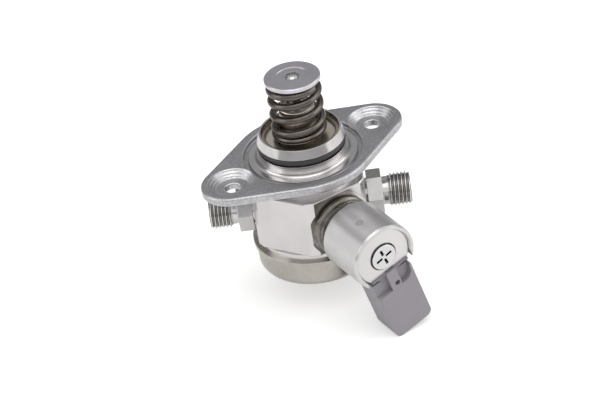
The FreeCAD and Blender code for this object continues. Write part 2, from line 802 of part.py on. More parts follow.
def make_damper():
    """The drawn cover and the sealed capsule that it holds."""
    floor = "-" + COVER_FLOOR
    keep(turned("cover", [
        ("0", floor),
        ("cover_radius", floor),
        ("cover_radius", "-" + COVER_LIP + " - cover_lip_length"),
        ("cover_lip_radius", "-" + COVER_LIP + " - cover_lip_length"),
        ("cover_lip_radius", "-" + COVER_LIP),
        (COVER_BORE, "-" + COVER_LIP),
        (COVER_BORE, floor + " + cover_wall"),
        ("0", floor + " + cover_wall"),
    ], rounds=[(1, "cover_round"), (6, "cover_round - cover_wall")]), "damper_cover")
    middle = "-(%s + %s - cover_wall) / 2" % (BOSS_END, COVER_FLOOR)
    rim = "damper_radius - damper_rim_width"
    for side, node in (("1", "damper_diaphragm_upper"), ("-1", "damper_diaphragm_lower")):
        flip = side + " * "
        keep(turned(node + "_sheet", [
            ("0", middle + " + " + flip + "damper_dome"),
            ("damper_flat_radius", middle + " + " + flip + "damper_dome"),
            ("damper_flat_radius + 3", middle + " + " + flip + "(damper_dome - 0.7)"),
            (rim + " - 2.4", middle + " + " + flip + "(damper_dome - 0.1)"),
            (rim, middle),
            ("damper_radius", middle),
            ("damper_radius", middle + " + " + flip + "damper_sheet"),
            (rim + " + 0.2", middle + " + " + flip + "damper_sheet"),
            (rim + " - 2.3", middle + " + " + flip + "(damper_dome - 0.1 + damper_sheet)"),
            ("damper_flat_radius + 3", middle + " + " + flip + "(damper_dome - 0.7 + damper_sheet)"),
            ("damper_flat_radius", middle + " + " + flip + "(damper_dome + damper_sheet)"),
            ("0", middle + " + " + flip + "(damper_dome + damper_sheet)"),
        ]), node)
    for side, node, seat in (("1", "damper_holder_upper", "-" + BOSS_END),
                             ("-1", "damper_holder_lower", floor + " + cover_wall")):
        rim_face = middle + " + " + side + " * damper_sheet"
        ring = turned(node + "_ring", [
            ("holder_radius", rim_face),
            ("holder_radius", seat),
            ("holder_radius - holder_foot_width", seat),
            ("holder_radius - holder_foot_width", seat + " - " + side + " * holder_sheet"),
            ("holder_radius - holder_sheet", seat + " - " + side + " * holder_sheet"),
            ("holder_radius - holder_sheet", rim_face),
        ])
        windows = []
        for number in range(3):
            turn = FreeCAD.Rotation(FreeCAD.Vector(0, 0, 1), 60 * number + 15)
            windows.append(block("%s_window_%d" % (node, number), "7", "2 * holder_radius + 2", "1.8",
                                 turn=turn))
        for number, window in enumerate(windows):
            angle = 60 * number + 15
            bind(window, "Placement.Base.x", "-3.5 * cos(%d deg) + (holder_radius + 1) * sin(%d deg)"
                 % (angle, angle))
            bind(window, "Placement.Base.y", "-3.5 * sin(%d deg) - (holder_radius + 1) * cos(%d deg)"
                 % (angle, angle))
            bind(window, "Placement.Base.z", "(%s + %s) / 2 - 0.9" % (rim_face, seat))
        keep(cut(node + "_cut", ring, *windows), node)


def fitting_blank(name, shank_start, hexagon_angle):
    """One pipe fitting along its own Z: shank, hexagon, neck and thread."""
    facet = "flat_distance"
    hex_start = "flat_distance + fitting_gap"
    hex_end = hex_start + " + hexagon_length"
    neck_end = hex_end + " + fitting_neck_length"
    end = neck_end + " + thread_length"
    stem = turned(name + "_stem", [
        ("fitting_bore_radius", shank_start),
        ("port_bore_radius - press_gap", shank_start),
        ("port_bore_radius - press_gap", facet),
        ("fitting_waist_radius", facet),
        ("fitting_waist_radius", hex_start + " + 0.5"),
        ("fitting_neck_radius", hex_end + " - 0.5"),
        ("fitting_neck_radius", neck_end),
        ("thread_radius", neck_end + " + thread_radius - fitting_neck_radius"),
        ("thread_radius", end + " - thread_chamfer"),
        ("thread_radius - thread_chamfer", end),
        ("pipe_seat_radius", end),
        ("fitting_bore_radius", end + " - pipe_seat_depth"),
    ])
    turn = FreeCAD.Rotation(FreeCAD.Vector(0, 0, 1), hexagon_angle)
    flats = hexagon(name + "_flats", "hexagon_flats", "hexagon_length", z=hex_start, turn=turn)
    corner = "hexagon_flats / 2 / cos(30 deg)"
    crown = turned(name + "_crown", [
        ("fitting_bore_radius", hex_start),
        (corner + " - hexagon_crown", hex_start),
        (corner, hex_start + " + hexagon_crown * 0.6"),
        (corner, hex_end + " - hexagon_crown * 0.6"),
        (corner + " - hexagon_crown", hex_end),
        ("fitting_bore_radius", hex_end),
    ])
    nut = shared(name + "_hexagon", flats, crown)
    return joined(name + "_blank", stem, nut)


def make_fittings():
    """The outlet fitting, and the inlet fitting with the strainer in its bore."""
    outlet = fitting_blank("outlet", "outlet_shank_start", SIZES["outlet_hexagon_angle"])
    keep_outlet(outlet, "outlet_fitting")
    blank = fitting_blank("inlet", "inlet_shank_start", SIZES["inlet_hexagon_angle"])
    bore = rod("strainer_bore", "strainer_bore_radius", "strainer_bore_length", z="inlet_shank_start")
    keep_inlet(cut("inlet_bored", blank, bore), "inlet_fitting")
    start = "inlet_shank_start"
    end = "inlet_shank_start + strainer_bore_length"
    keep_inlet(turned("strainer", [
        ("strainer_radius - strainer_sheet", start),
        ("strainer_bore_radius - press_gap", start),
        ("strainer_bore_radius - press_gap", start + " + strainer_rim_length"),
        ("strainer_radius", start + " + strainer_rim_length"),
        ("strainer_radius - 0.5", end + " - 0.1"),
        ("0", end + " - 0.1"),
        ("0", end + " - 0.1 - strainer_sheet"),
        ("strainer_radius - 0.5 - strainer_sheet", end + " - 0.1 - strainer_sheet"),
    ]), "inlet_strainer")


def make_outlet_valve():
    """The spring-loaded ball that lets fuel out to the rail."""
    start = "outlet_valve_floor"
    face = "outlet_valve_floor + outlet_seat_length"
    hole = "outlet_seat_hole_radius"
    wall = "outlet_valve_bore_radius - press_gap"
    ball_offset = face + " + outlet_ball_stand"
    keep_outlet(turned("outlet_seat", [
        (hole, start),
        (wall, start),
        (wall, face),
        (hole + " + 0.8", face),
        (hole, face + " - 0.8"),
    ]), "outlet_valve_seat")
    across, along = port_point(SIZES["outlet_angle"], ball_offset)
    sphere = ball("outlet_ball", "outlet_ball_radius", across, along, PORT_PLACE)
    keep(sphere, "outlet_check_ball")
    cage_bore = "outlet_cage_radius - outlet_cage_sheet"
    cage_end = face + " + outlet_cage_length"
    cage = turned("outlet_cage", [
        (cage_bore, face),
        (wall, face),
        (wall, face + " + outlet_cage_sheet"),
        ("outlet_cage_radius", face + " + outlet_cage_sheet"),
        ("outlet_cage_radius", cage_end),
        ("1", cage_end),
        ("1", cage_end + " - outlet_cage_sheet"),
        (cage_bore, cage_end + " - outlet_cage_sheet"),
    ])
    long_slot = "2 * outlet_cage_radius + 2"
    reach = "-outlet_cage_radius - 1"
    slot_place = face + " + 1.4"
    slots = [
        block("outlet_cage_slot_across", long_slot, "1.8", "2.6", reach, "-0.9", slot_place),
        block("outlet_cage_slot_along", "1.8", long_slot, "2.6", "-0.9", reach, slot_place),
    ]
    keep_outlet(cut("outlet_cage_cut", cage, *slots), "outlet_valve_cage")
    face_now = SIZES["outlet_valve_floor"] + SIZES["outlet_seat_length"]
    touch = SIZES["outlet_ball_radius"] + SIZES["outlet_wire_radius"]
    rise = math.sqrt(touch ** 2 - SIZES["outlet_spring_radius"] ** 2) - SIZES["outlet_wire_radius"]
    low = face_now + SIZES["outlet_ball_stand"] + rise + SIZES["press_gap"]
    high = face_now + SIZES["outlet_cage_length"] - SIZES["outlet_cage_sheet"]
    spring = wound_spring("outlet_coil", SIZES["outlet_spring_radius"], SIZES["outlet_wire_radius"],
                          low, high, 4.0, 0.75, 0)
    keep_outlet(spring, "outlet_valve_spring")


def make_relief_valve():
    """The relief valve: a ball held up against its seat by a cup, a spring and
    a plug, in a bore that opens into the damper's space."""
    across, along = port_point(SIZES["outlet_angle"], "relief_offset")
    drop = "sqrt(relief_ball_radius ^ 2 - relief_seat_radius ^ 2)"
    ball_place = "-relief_bore_top - %s" % drop
    sphere = ball("relief_sphere", "relief_ball_radius", across, along, ball_place)
    keep(sphere, "relief_valve_ball")
    cup_top = ball_place + " - relief_ball_radius * 0.3"
    cup = turned("relief_cup_turn", [
        ("0", "-relief_cup_length"),
        ("relief_cup_radius * 0.5", "-relief_cup_length"),
        ("relief_cup_radius * 0.5", "-relief_cup_length * 0.6"),
        ("relief_cup_radius", "-relief_cup_length * 0.6"),
        ("relief_cup_radius", "0"),
        ("0", "0"),
    ])
    put(cup, across, along, cup_top)
    socket = ball("relief_cup_socket", "relief_ball_radius", across, along, ball_place)
    keep(cut("relief_cup_cut", cup, socket), "relief_valve_cup")
    plug = turned("relief_plug_turn", [
        ("relief_plug_hole_radius", "0"),
        ("relief_bore_radius - press_gap", "0"),
        ("relief_bore_radius - press_gap", "relief_plug_length"),
        ("relief_plug_hole_radius", "relief_plug_length"),
    ])
    keep(put(plug, across, along, "-" + BOSS_END), "relief_valve_plug")
    boss_end = SIZES["block_start"] + SIZES["block_length"] + SIZES["waist_length"] + SIZES["boss_length"]
    low = -boss_end + SIZES["relief_plug_length"]
    drop_now = math.sqrt(SIZES["relief_ball_radius"] ** 2 - SIZES["relief_seat_radius"] ** 2)
    cup_now = -SIZES["relief_bore_top"] - drop_now - SIZES["relief_ball_radius"] * 0.3
    high = cup_now - SIZES["relief_cup_length"] * 0.6
    spring = wound_spring("relief_coil", SIZES["relief_spring_radius"], SIZES["relief_wire_radius"],
                          low, high, 3.0, 0.6, 0)
    angle = math.radians(SIZES["outlet_angle"])
    reach = SIZES["relief_offset"]
    spring.Placement = FreeCAD.Placement(
        FreeCAD.Vector(reach * math.cos(angle), reach * math.sin(angle), 0), FreeCAD.Rotation())
    keep(spring, "relief_valve_spring")


def make_inlet_valve():
    """The plate valve between the solenoid and the pumping chamber."""
    floor = "valve_small_floor"
    seat = "valve_seat_face"
    wall = "valve_small_radius - press_gap"
    stop = turned("valve_stop", [
        ("0", floor),
        (wall, floor),
        (wall, seat),
        (wall + " - valve_stop_wall", seat),
        (wall + " - valve_stop_wall", floor + " + valve_stop_thickness"),
        ("0", floor + " + valve_stop_thickness"),
    ])
    holes = []
    for number in range(SIZES["valve_stop_holes"]):
        angle = 360.0 * number / SIZES["valve_stop_holes"] + 45
        holes.append(rod("valve_stop_hole_%d" % number, "0.8", "valve_stop_thickness + 1",
                         "3.2 * cos(%g deg)" % angle, "3.2 * sin(%g deg)" % angle, floor + " - 0.5"))
    keep_solenoid(cut("valve_stop_drilled", stop, *holes), "inlet_valve_stop")
    plate_face = seat + " - valve_plate_lift - 0.05"
    keep_solenoid(turned("valve_disc", [
        ("0", plate_face + " - valve_plate_thickness"),
        ("valve_plate_radius - 0.2", plate_face + " - valve_plate_thickness"),
        ("valve_plate_radius", plate_face + " - valve_plate_thickness + 0.2"),
        ("valve_plate_radius", plate_face),
        ("0", plate_face),
    ]), "inlet_valve_plate")
    low = SIZES["valve_small_floor"] + SIZES["valve_stop_thickness"]
    high = SIZES["valve_seat_face"] - SIZES["valve_plate_lift"] - 0.05 - SIZES["valve_plate_thickness"]
    spring = wound_spring("valve_coil", SIZES["valve_spring_radius"], SIZES["valve_wire_radius"],
                          low, high, 2.5, 0.5, 0)
    keep_solenoid(spring, "inlet_valve_spring")


def make_solenoid_base():
    """The turned base that closes the valve bore, seats the plate and guides
    the needle."""
    seat = "valve_seat_face"
    small = "valve_small_radius - press_gap"
    large = "valve_bore_radius - press_gap"
    gallery_end = "gallery_start + gallery_length"
    ring_end = "base_ring_groove_start + base_ring_groove_width"
    sleeve = "armature_radius + slide_gap + sleeve_wall + press_gap"
    base = turned("base_turn", [
        ("valve_seat_hole_radius", seat),
        (small, seat),
        (small, "valve_bore_floor"),
        (large, "valve_bore_floor"),
        (large, "gallery_start"),
        ("gallery_groove_radius", "gallery_start"),
        ("gallery_groove_radius", gallery_end),
        (large, gallery_end),
        (large, "base_ring_groove_start"),
        ("base_ring_groove_radius", "base_ring_groove_start"),
        ("base_ring_groove_radius", ring_end),
        (large, ring_end),
        (large, "spot_face_floor"),
        ("base_collar_radius", "spot_face_floor"),
        ("base_collar_radius", "base_collar_end - 0.5"),
        ("base_collar_radius - 0.5", "base_collar_end"),
        ("base_step_radius", "base_collar_end"),
        ("base_step_radius", "base_collar_end + base_step_length"),
        ("base_neck_radius", "base_collar_end + base_step_length"),
        ("base_neck_radius", "can_start"),
        (sleeve, "can_start"),
        (sleeve, "sleeve_seat"),
        ("needle_radius + slide_gap", "sleeve_seat"),
        ("needle_radius + slide_gap", gallery_end + " + 1"),
        ("gallery_radius", gallery_end),
        ("gallery_radius", "gallery_start"),
        ("valve_seat_hole_radius", "gallery_start - 0.6"),
    ])
    drillings = []
    for number in range(SIZES["gallery_holes"]):
        angle = 360.0 * number / SIZES["gallery_holes"]
        turn = FreeCAD.Rotation(FreeCAD.Vector(0, 0, 1), angle) * FreeCAD.Rotation(FreeCAD.Vector(0, 1, 0), 90)
        drillings.append(rod("gallery_hole_%d" % number, "gallery_hole_radius", "valve_bore_radius",
                             "0", "0", "gallery_start + gallery_length / 2", turn))
    keep_solenoid(cut("base_drilled", base, *drillings), "solenoid_base")


def make_solenoid_moving():
    """The armature with its needle, and the spring that holds the valve open."""
    plate_face = "valve_seat_face - valve_plate_lift - 0.05"
    end = "armature_start + armature_length"
    keep_solenoid(turned("needle", [
        ("0", plate_face + " + 0.02"),
        ("needle_radius * 0.6", plate_face + " + 0.02"),
        ("needle_radius", plate_face + " + 0.6"),
        ("needle_radius", end + " - spring_pocket_depth"),
        ("0", end + " - spring_pocket_depth"),
    ]), "valve_needle")
    keep_solenoid(turned("armature_turn", [
        ("needle_radius", "armature_start"),
        ("armature_radius - 0.6", "armature_start"),
        ("armature_radius", "armature_start + 0.6"),
        ("armature_radius", end + " - 0.4"),
        ("armature_radius - 0.4", end),
        ("spring_pocket_radius", end),
        ("spring_pocket_radius", end + " - spring_pocket_depth"),
        ("needle_radius", end + " - spring_pocket_depth"),
    ]), "armature")
    core_start = "armature_start + armature_length + armature_lift + core_stop_gap"
    core_radius = "armature_radius + slide_gap - press_gap"
    core = turned("core_turn", [
        ("0", core_start + " + spring_pocket_depth"),
        ("spring_pocket_radius", core_start + " + spring_pocket_depth"),
        ("spring_pocket_radius", core_start),
        (core_radius, core_start),
        (core_radius, "core_head_start"),
        ("core_head_radius", "core_head_start"),
        ("core_head_radius", "core_head_end - 0.5"),
        ("core_head_radius - 0.5", "core_head_end"),
        ("0", "core_head_end"),
    ])
    stakes = []
    for number in range(4):
        angle = 90 * number + SIZES["stake_angle"]
        turn = FreeCAD.Rotation(FreeCAD.Vector(0, 0, 1), angle)
        near = "stake_start * cos(%g deg) + stake_width / 2 * sin(%g deg)" % (angle, angle)
        side = "stake_start * sin(%g deg) - stake_width / 2 * cos(%g deg)" % (angle, angle)
        stakes.append(block("stake_%d" % number, "stake_length", "stake_width", "2 * stake_depth",
                            near, side, "core_head_end - stake_depth", turn))
    keep_solenoid(cut("core_staked", core, *stakes), "pole_core")
    low = SIZES["armature_start"] + SIZES["armature_length"] - SIZES["spring_pocket_depth"]
    core_now = SIZES["armature_start"] + SIZES["armature_length"] + SIZES["armature_lift"] + SIZES["core_stop_gap"]
    high = core_now + SIZES["spring_pocket_depth"]
    spring = wound_spring("armature_coil", SIZES["armature_spring_radius"],
                          SIZES["armature_wire_radius"], low, high, 5.0, 0.75, 0)
    keep_solenoid(spring, "armature_spring")


def make_solenoid_shell():
    """The sleeve, the winding on its bobbin, the can and its end plate."""
    sleeve_bore = "armature_radius + slide_gap"
    sleeve_outer = "armature_radius + slide_gap + sleeve_wall"
    keep_solenoid(turned("sleeve", [
        (sleeve_bore, "sleeve_seat"),
        (sleeve_outer, "sleeve_seat"),
        (sleeve_outer, "sleeve_end"),
        (sleeve_bore, "sleeve_end"),
    ]), "armature_sleeve")
    can_floor = "can_start + can_back"
    tube = sleeve_outer + " + press_gap"
    keep_solenoid(turned("bobbin", [
        (tube, can_floor),
        (COIL_FLANGE, can_floor),
        (COIL_FLANGE, can_floor + " + coil_flange_thickness"),
        (tube + " + coil_tube_wall", can_floor + " + coil_flange_thickness"),
        (tube + " + coil_tube_wall", "coil_end - coil_flange_thickness"),
        (COIL_FLANGE, "coil_end - coil_flange_thickness"),
        (COIL_FLANGE, "coil_end"),
        (tube, "coil_end"),
    ]), "coil_bobbin")
    keep_solenoid(turned("winding", [
        (tube + " + coil_tube_wall", can_floor + " + coil_flange_thickness"),
        (COIL_FLANGE + " - coil_wire_drop", can_floor + " + coil_flange_thickness"),
        (COIL_FLANGE + " - coil_wire_drop", "coil_end - coil_flange_thickness"),
        (tube + " + coil_tube_wall", "coil_end - coil_flange_thickness"),
    ]), "coil_winding")
    can = turned("can_turn", [
        (tube, "can_start"),
        ("can_radius", "can_start"),
        ("can_radius", "can_end - 0.9"),
        ("can_radius - 0.5", "can_end"),
        ("can_radius - can_wall + 0.5", "can_end"),
        ("can_radius - can_wall", "can_end - 0.9"),
        ("can_radius - can_wall", can_floor),
        (tube, can_floor),
    ], rounds=[(1, "can_round")])
    turn = FreeCAD.Rotation(FreeCAD.Vector(0, 0, 1), SIZES["connector_angle"])
    mouth = across_block("can_cut", "0", "can_radius + 2", "can_cut_half_width", "can_cut_start",
                         "can_end + 1")
    hole_turn = FreeCAD.Rotation(FreeCAD.Vector(0, 0, 1), 180) * turn
    hole_turn = hole_turn * FreeCAD.Rotation(FreeCAD.Vector(0, 1, 0), 90)
    hole = rod("can_hole", "can_hole_radius", "can_radius + 1", "0", "0", "can_hole_place", hole_turn)
    keep_solenoid(cut("can_open", can, mouth, hole), "solenoid_can")
    plate = rod("plate_disc", "can_radius - can_wall - press_gap", "plate_thickness", z="plate_start")
    centre = rod("plate_hole", "core_head_radius + press_gap", "plate_thickness + 2",
                 z="plate_start - 1")
    chord = across_block("plate_chord_cut", "plate_chord", "can_radius", "can_radius", "plate_start - 1",
                         "plate_start + plate_thickness + 1")
    notch = across_block("plate_notch_cut", "plate_notch_chord", "can_radius",
                         "plate_notch_half_width", "plate_start - 1",
                         "plate_start + plate_thickness + 1")
    keep_solenoid(cut("plate_shaped", plate, centre, chord, notch), "solenoid_end_plate")


def across_block(name, near, far, half_width, back, front):
    """A block square to the connector: near and far are measured from the
    solenoid's axis towards the plug, and back and front from the plunger."""
    return offset_block(name, near, far, "-(%s)" % half_width, half_width, back, front)


def offset_block(name, near, far, left, right, back, front):
    """The same, with its two sides given apart."""
    angle = SIZES["connector_angle"]
    turn = FreeCAD.Rotation(FreeCAD.Vector(0, 0, 1), angle)
    across = "(%s) * cos(%g deg) - (%s) * sin(%g deg)" % (near, angle, left, angle)
    along = "(%s) * sin(%g deg) + (%s) * cos(%g deg)" % (near, angle, left, angle)
    return block(name, "(%s) - (%s)" % (far, near), "(%s) - (%s)" % (right, left),
                 "(%s) - (%s)" % (front, back), across, along, back, turn)


def make_connector():
    """The moulding round the coil, with the plug socket at its end."""
    can_floor = "can_start + can_back"
    skin = "can_radius - can_wall - press_gap"
    ring = turned("moulding_ring", [
        (COIL_FLANGE, can_floor),
        (skin, can_floor),
        (skin, "coil_end"),
        (COIL_FLANGE, "coil_end"),
    ])
    neck = across_block("moulding_neck", COIL_FLANGE + " + moulding_overlap", "connector_end",
                        "connector_half_width", "connector_back", "connector_front")
    doc.recompute()
    rounded = doc.addObject("Part::Fillet", "moulding_rounding")
    rounded.Base = neck
    corner_edges = []
    for number, edge in enumerate(neck.Shape.Edges, start=1):
        middle = edge.CenterOfMass
        down = plug_distance(middle)
        along_axis = abs(edge.Vertexes[0].Z - edge.Vertexes[1].Z) > 1
        if along_axis and down > SIZES["connector_end"] - 0.01:
            corner_edges.append((number, SIZES["connector_round"], SIZES["connector_round"]))
    rounded.Edges = corner_edges
    nose = across_block("moulding_nose", "plate_chord + press_gap", "can_radius",
                        "connector_half_width", "coil_end", "connector_front")
    nose_limit = rod("moulding_nose_limit", skin, "connector_front - coil_end", z="coil_end")
    nose_part = shared("moulding_nose_part", nose, nose_limit)
    hole_turn = FreeCAD.Rotation(FreeCAD.Vector(0, 0, 1), SIZES["connector_angle"] + 180)
    hole_turn = hole_turn * FreeCAD.Rotation(FreeCAD.Vector(0, 1, 0), 90)
    angle = SIZES["connector_angle"] + 180
    plug = rod("moulding_plug", "can_hole_radius - press_gap", "can_wall + coil_clearance - moulding_overlap - plug_recess",
               "(%s + moulding_overlap) * cos(%g deg)" % (COIL_FLANGE, angle),
               "(%s + moulding_overlap) * sin(%g deg)" % (COIL_FLANGE, angle), "can_hole_place", hole_turn)
    blank = joined("moulding_blank", ring, rounded, nose_part, plug)
    socket = across_block("socket", "connector_end - socket_depth", "connector_end + 1",
                          "socket_half_width", "socket_back", "socket_front")
    left = offset_block("pocket_left", "pocket_near", "pocket_far", "-(connector_half_width + 1)",
                        "-pocket_rib_half_width", "connector_front - pocket_depth",
                        "connector_front + 1")
    right = offset_block("pocket_right", "pocket_near", "pocket_far", "pocket_rib_half_width",
                         "pocket_outer", "connector_front - pocket_depth", "connector_front + 1")
    slots = []
    middle = "(socket_back + socket_front) / 2"
    for number, side in enumerate(("-1", "1")):
        low = "%s * pin_offset - pin_half_width" % side
        high = "%s * pin_offset + pin_half_width" % side
        slots.append(offset_block("pin_slot_%d" % number, "pin_root", "connector_end", low, high,
                                  middle + " - pin_thickness / 2", middle + " + pin_thickness / 2"))
    keep_solenoid(cut("moulding", blank, socket, left, right, *slots), "connector_housing")
    pins = []
    for number, side in enumerate(("-1", "1")):
        low = "%s * pin_offset - pin_half_width" % side
        high = "%s * pin_offset + pin_half_width" % side
        pins.append(offset_block("pin_%d" % number, "pin_root", "pin_tip", low, high,
                                 middle + " - pin_thickness / 2", middle + " + pin_thickness / 2"))
    both = doc.addObject("Part::Compound", "pins")
    both.Links = pins
    keep_solenoid(both, "connector_terminals")


def plug_distance(point):
    """How far a point lies from the solenoid's axis towards the plug."""
    angle = math.radians(SIZES["connector_angle"])
    return point.x * math.cos(angle) + point.y * math.sin(angle)


make_housing()
make_flange()
make_rings()
make_plunger_group()
make_return_spring()
make_damper()
make_fittings()
make_outlet_valve()
make_relief_valve()
make_inlet_valve()
make_solenoid_base()
make_solenoid_moving()
make_solenoid_shell()
make_connector()
doc.recompute()

for thing in doc.Objects:
    if "Invalid" in thing.State or "Error" in thing.State:
        raise RuntimeError("%s did not compute: %s" % (thing.Name, thing.State))

os.makedirs("parts", exist_ok=True)
for thing in finished:
    if thing.Shape.isNull() or not thing.Shape.isValid():
        raise RuntimeError("%s has no valid shape" % thing.Label)
    thing.Shape.exportStep("parts/%s.step" % thing.Label)
    print("%-26s %9.1f mm3, solids %d" % (thing.Label, thing.Shape.Volume, len(thing.Shape.Solids)))
print("%d sub-parts" % len(finished))
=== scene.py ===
import json
import math

import bmesh
import bpy
from mathutils import Matrix, Vector


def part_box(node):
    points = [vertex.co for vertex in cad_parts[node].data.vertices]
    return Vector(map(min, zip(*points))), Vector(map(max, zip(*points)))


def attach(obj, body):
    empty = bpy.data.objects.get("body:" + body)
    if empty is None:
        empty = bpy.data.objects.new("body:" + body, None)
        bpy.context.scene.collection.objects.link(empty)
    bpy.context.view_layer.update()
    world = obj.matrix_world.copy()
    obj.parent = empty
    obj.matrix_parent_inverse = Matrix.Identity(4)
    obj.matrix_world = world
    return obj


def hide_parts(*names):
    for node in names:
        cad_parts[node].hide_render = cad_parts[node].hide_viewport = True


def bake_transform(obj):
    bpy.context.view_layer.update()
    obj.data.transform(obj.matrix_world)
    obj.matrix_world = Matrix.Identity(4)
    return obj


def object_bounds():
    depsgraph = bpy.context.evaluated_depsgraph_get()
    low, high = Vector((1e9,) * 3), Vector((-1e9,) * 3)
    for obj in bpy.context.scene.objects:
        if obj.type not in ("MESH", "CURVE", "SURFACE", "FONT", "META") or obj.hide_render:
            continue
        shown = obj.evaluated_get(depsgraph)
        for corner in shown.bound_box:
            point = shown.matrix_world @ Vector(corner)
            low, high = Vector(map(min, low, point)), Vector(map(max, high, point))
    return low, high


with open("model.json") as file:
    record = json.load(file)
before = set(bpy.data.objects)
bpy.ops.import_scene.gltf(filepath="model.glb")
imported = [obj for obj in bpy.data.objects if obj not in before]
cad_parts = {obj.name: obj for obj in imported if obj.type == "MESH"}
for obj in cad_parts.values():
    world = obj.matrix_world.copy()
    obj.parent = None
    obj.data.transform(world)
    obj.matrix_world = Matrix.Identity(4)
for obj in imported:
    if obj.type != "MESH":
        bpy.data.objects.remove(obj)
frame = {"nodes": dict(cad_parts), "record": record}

mm = 0.001
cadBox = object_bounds()
scene = bpy.context.scene
mounts = {mount["name"]: mount for mount in frame["record"]["mounts"]}
print("frame loaded:", len(frame["nodes"]), "nodes")


def hexToLinear(code):
    parts = [int(code[place:place + 2], 16) / 255 for place in (1, 3, 5)]
    linear = [part / 12.92 if part <= 0.04045 else ((part + 0.055) / 1.055) ** 2.4 for part in parts]
    return (*linear, 1.0)


def addNode(tree, kind, values=None, links=None, **settings):
    # a socket goes by its name, or by its number where a node has several of one name
    node = tree.nodes.new(kind)
    for name, value in settings.items():
        setattr(node, name, value)
    for socket, value in (values or {}).items():
        node.inputs[socket].default_value = value
    for socket, source in (links or {}).items():
        tree.links.new(source, node.inputs[socket])
    return node


# Materials

bevelSamples = 6         # rays that look for an edge near each point


def newMaterial(name):
    material = bpy.data.materials.new(name)
    material.use_nodes = True
    material.node_tree.nodes.clear()
    return material, material.node_tree


def placeInMm(tree):
    # the object's own coordinates in millimetres: nodes sit at the origin, in the pump's frame
    coords = addNode(tree, "ShaderNodeTexCoord")
    scaled = addNode(tree, "ShaderNodeVectorMath", {1: (1000, 1000, 1000)},
                     {0: coords.outputs["Object"]}, operation="MULTIPLY")
    return scaled.outputs[0]


def latheCoordinate(tree, place, point, axis):
    # distance from a turning axis plus height along it: one number that counts tool marks on faces and walls
    fromPoint = addNode(tree, "ShaderNodeVectorMath", {1: point}, {0: place}, operation="SUBTRACT")
    height = addNode(tree, "ShaderNodeVectorMath", {1: axis}, {0: fromPoint.outputs[0]},
                     operation="DOT_PRODUCT")
    onAxis = addNode(tree, "ShaderNodeVectorMath", {0: axis}, {"Scale": height.outputs["Value"]},
                     operation="SCALE")
    outward = addNode(tree, "ShaderNodeVectorMath", links={0: fromPoint.outputs[0], 1: onAxis.outputs[0]},
                      operation="SUBTRACT")
    radius = addNode(tree, "ShaderNodeVectorMath", links={0: outward.outputs[0]}, operation="LENGTH")
    both = addNode(tree, "ShaderNodeMath", links={0: radius.outputs["Value"], 1: height.outputs["Value"]},
                   operation="ADD")
    return both.outputs[0], radius.outputs["Value"], height.outputs["Value"], outward.outputs[0]


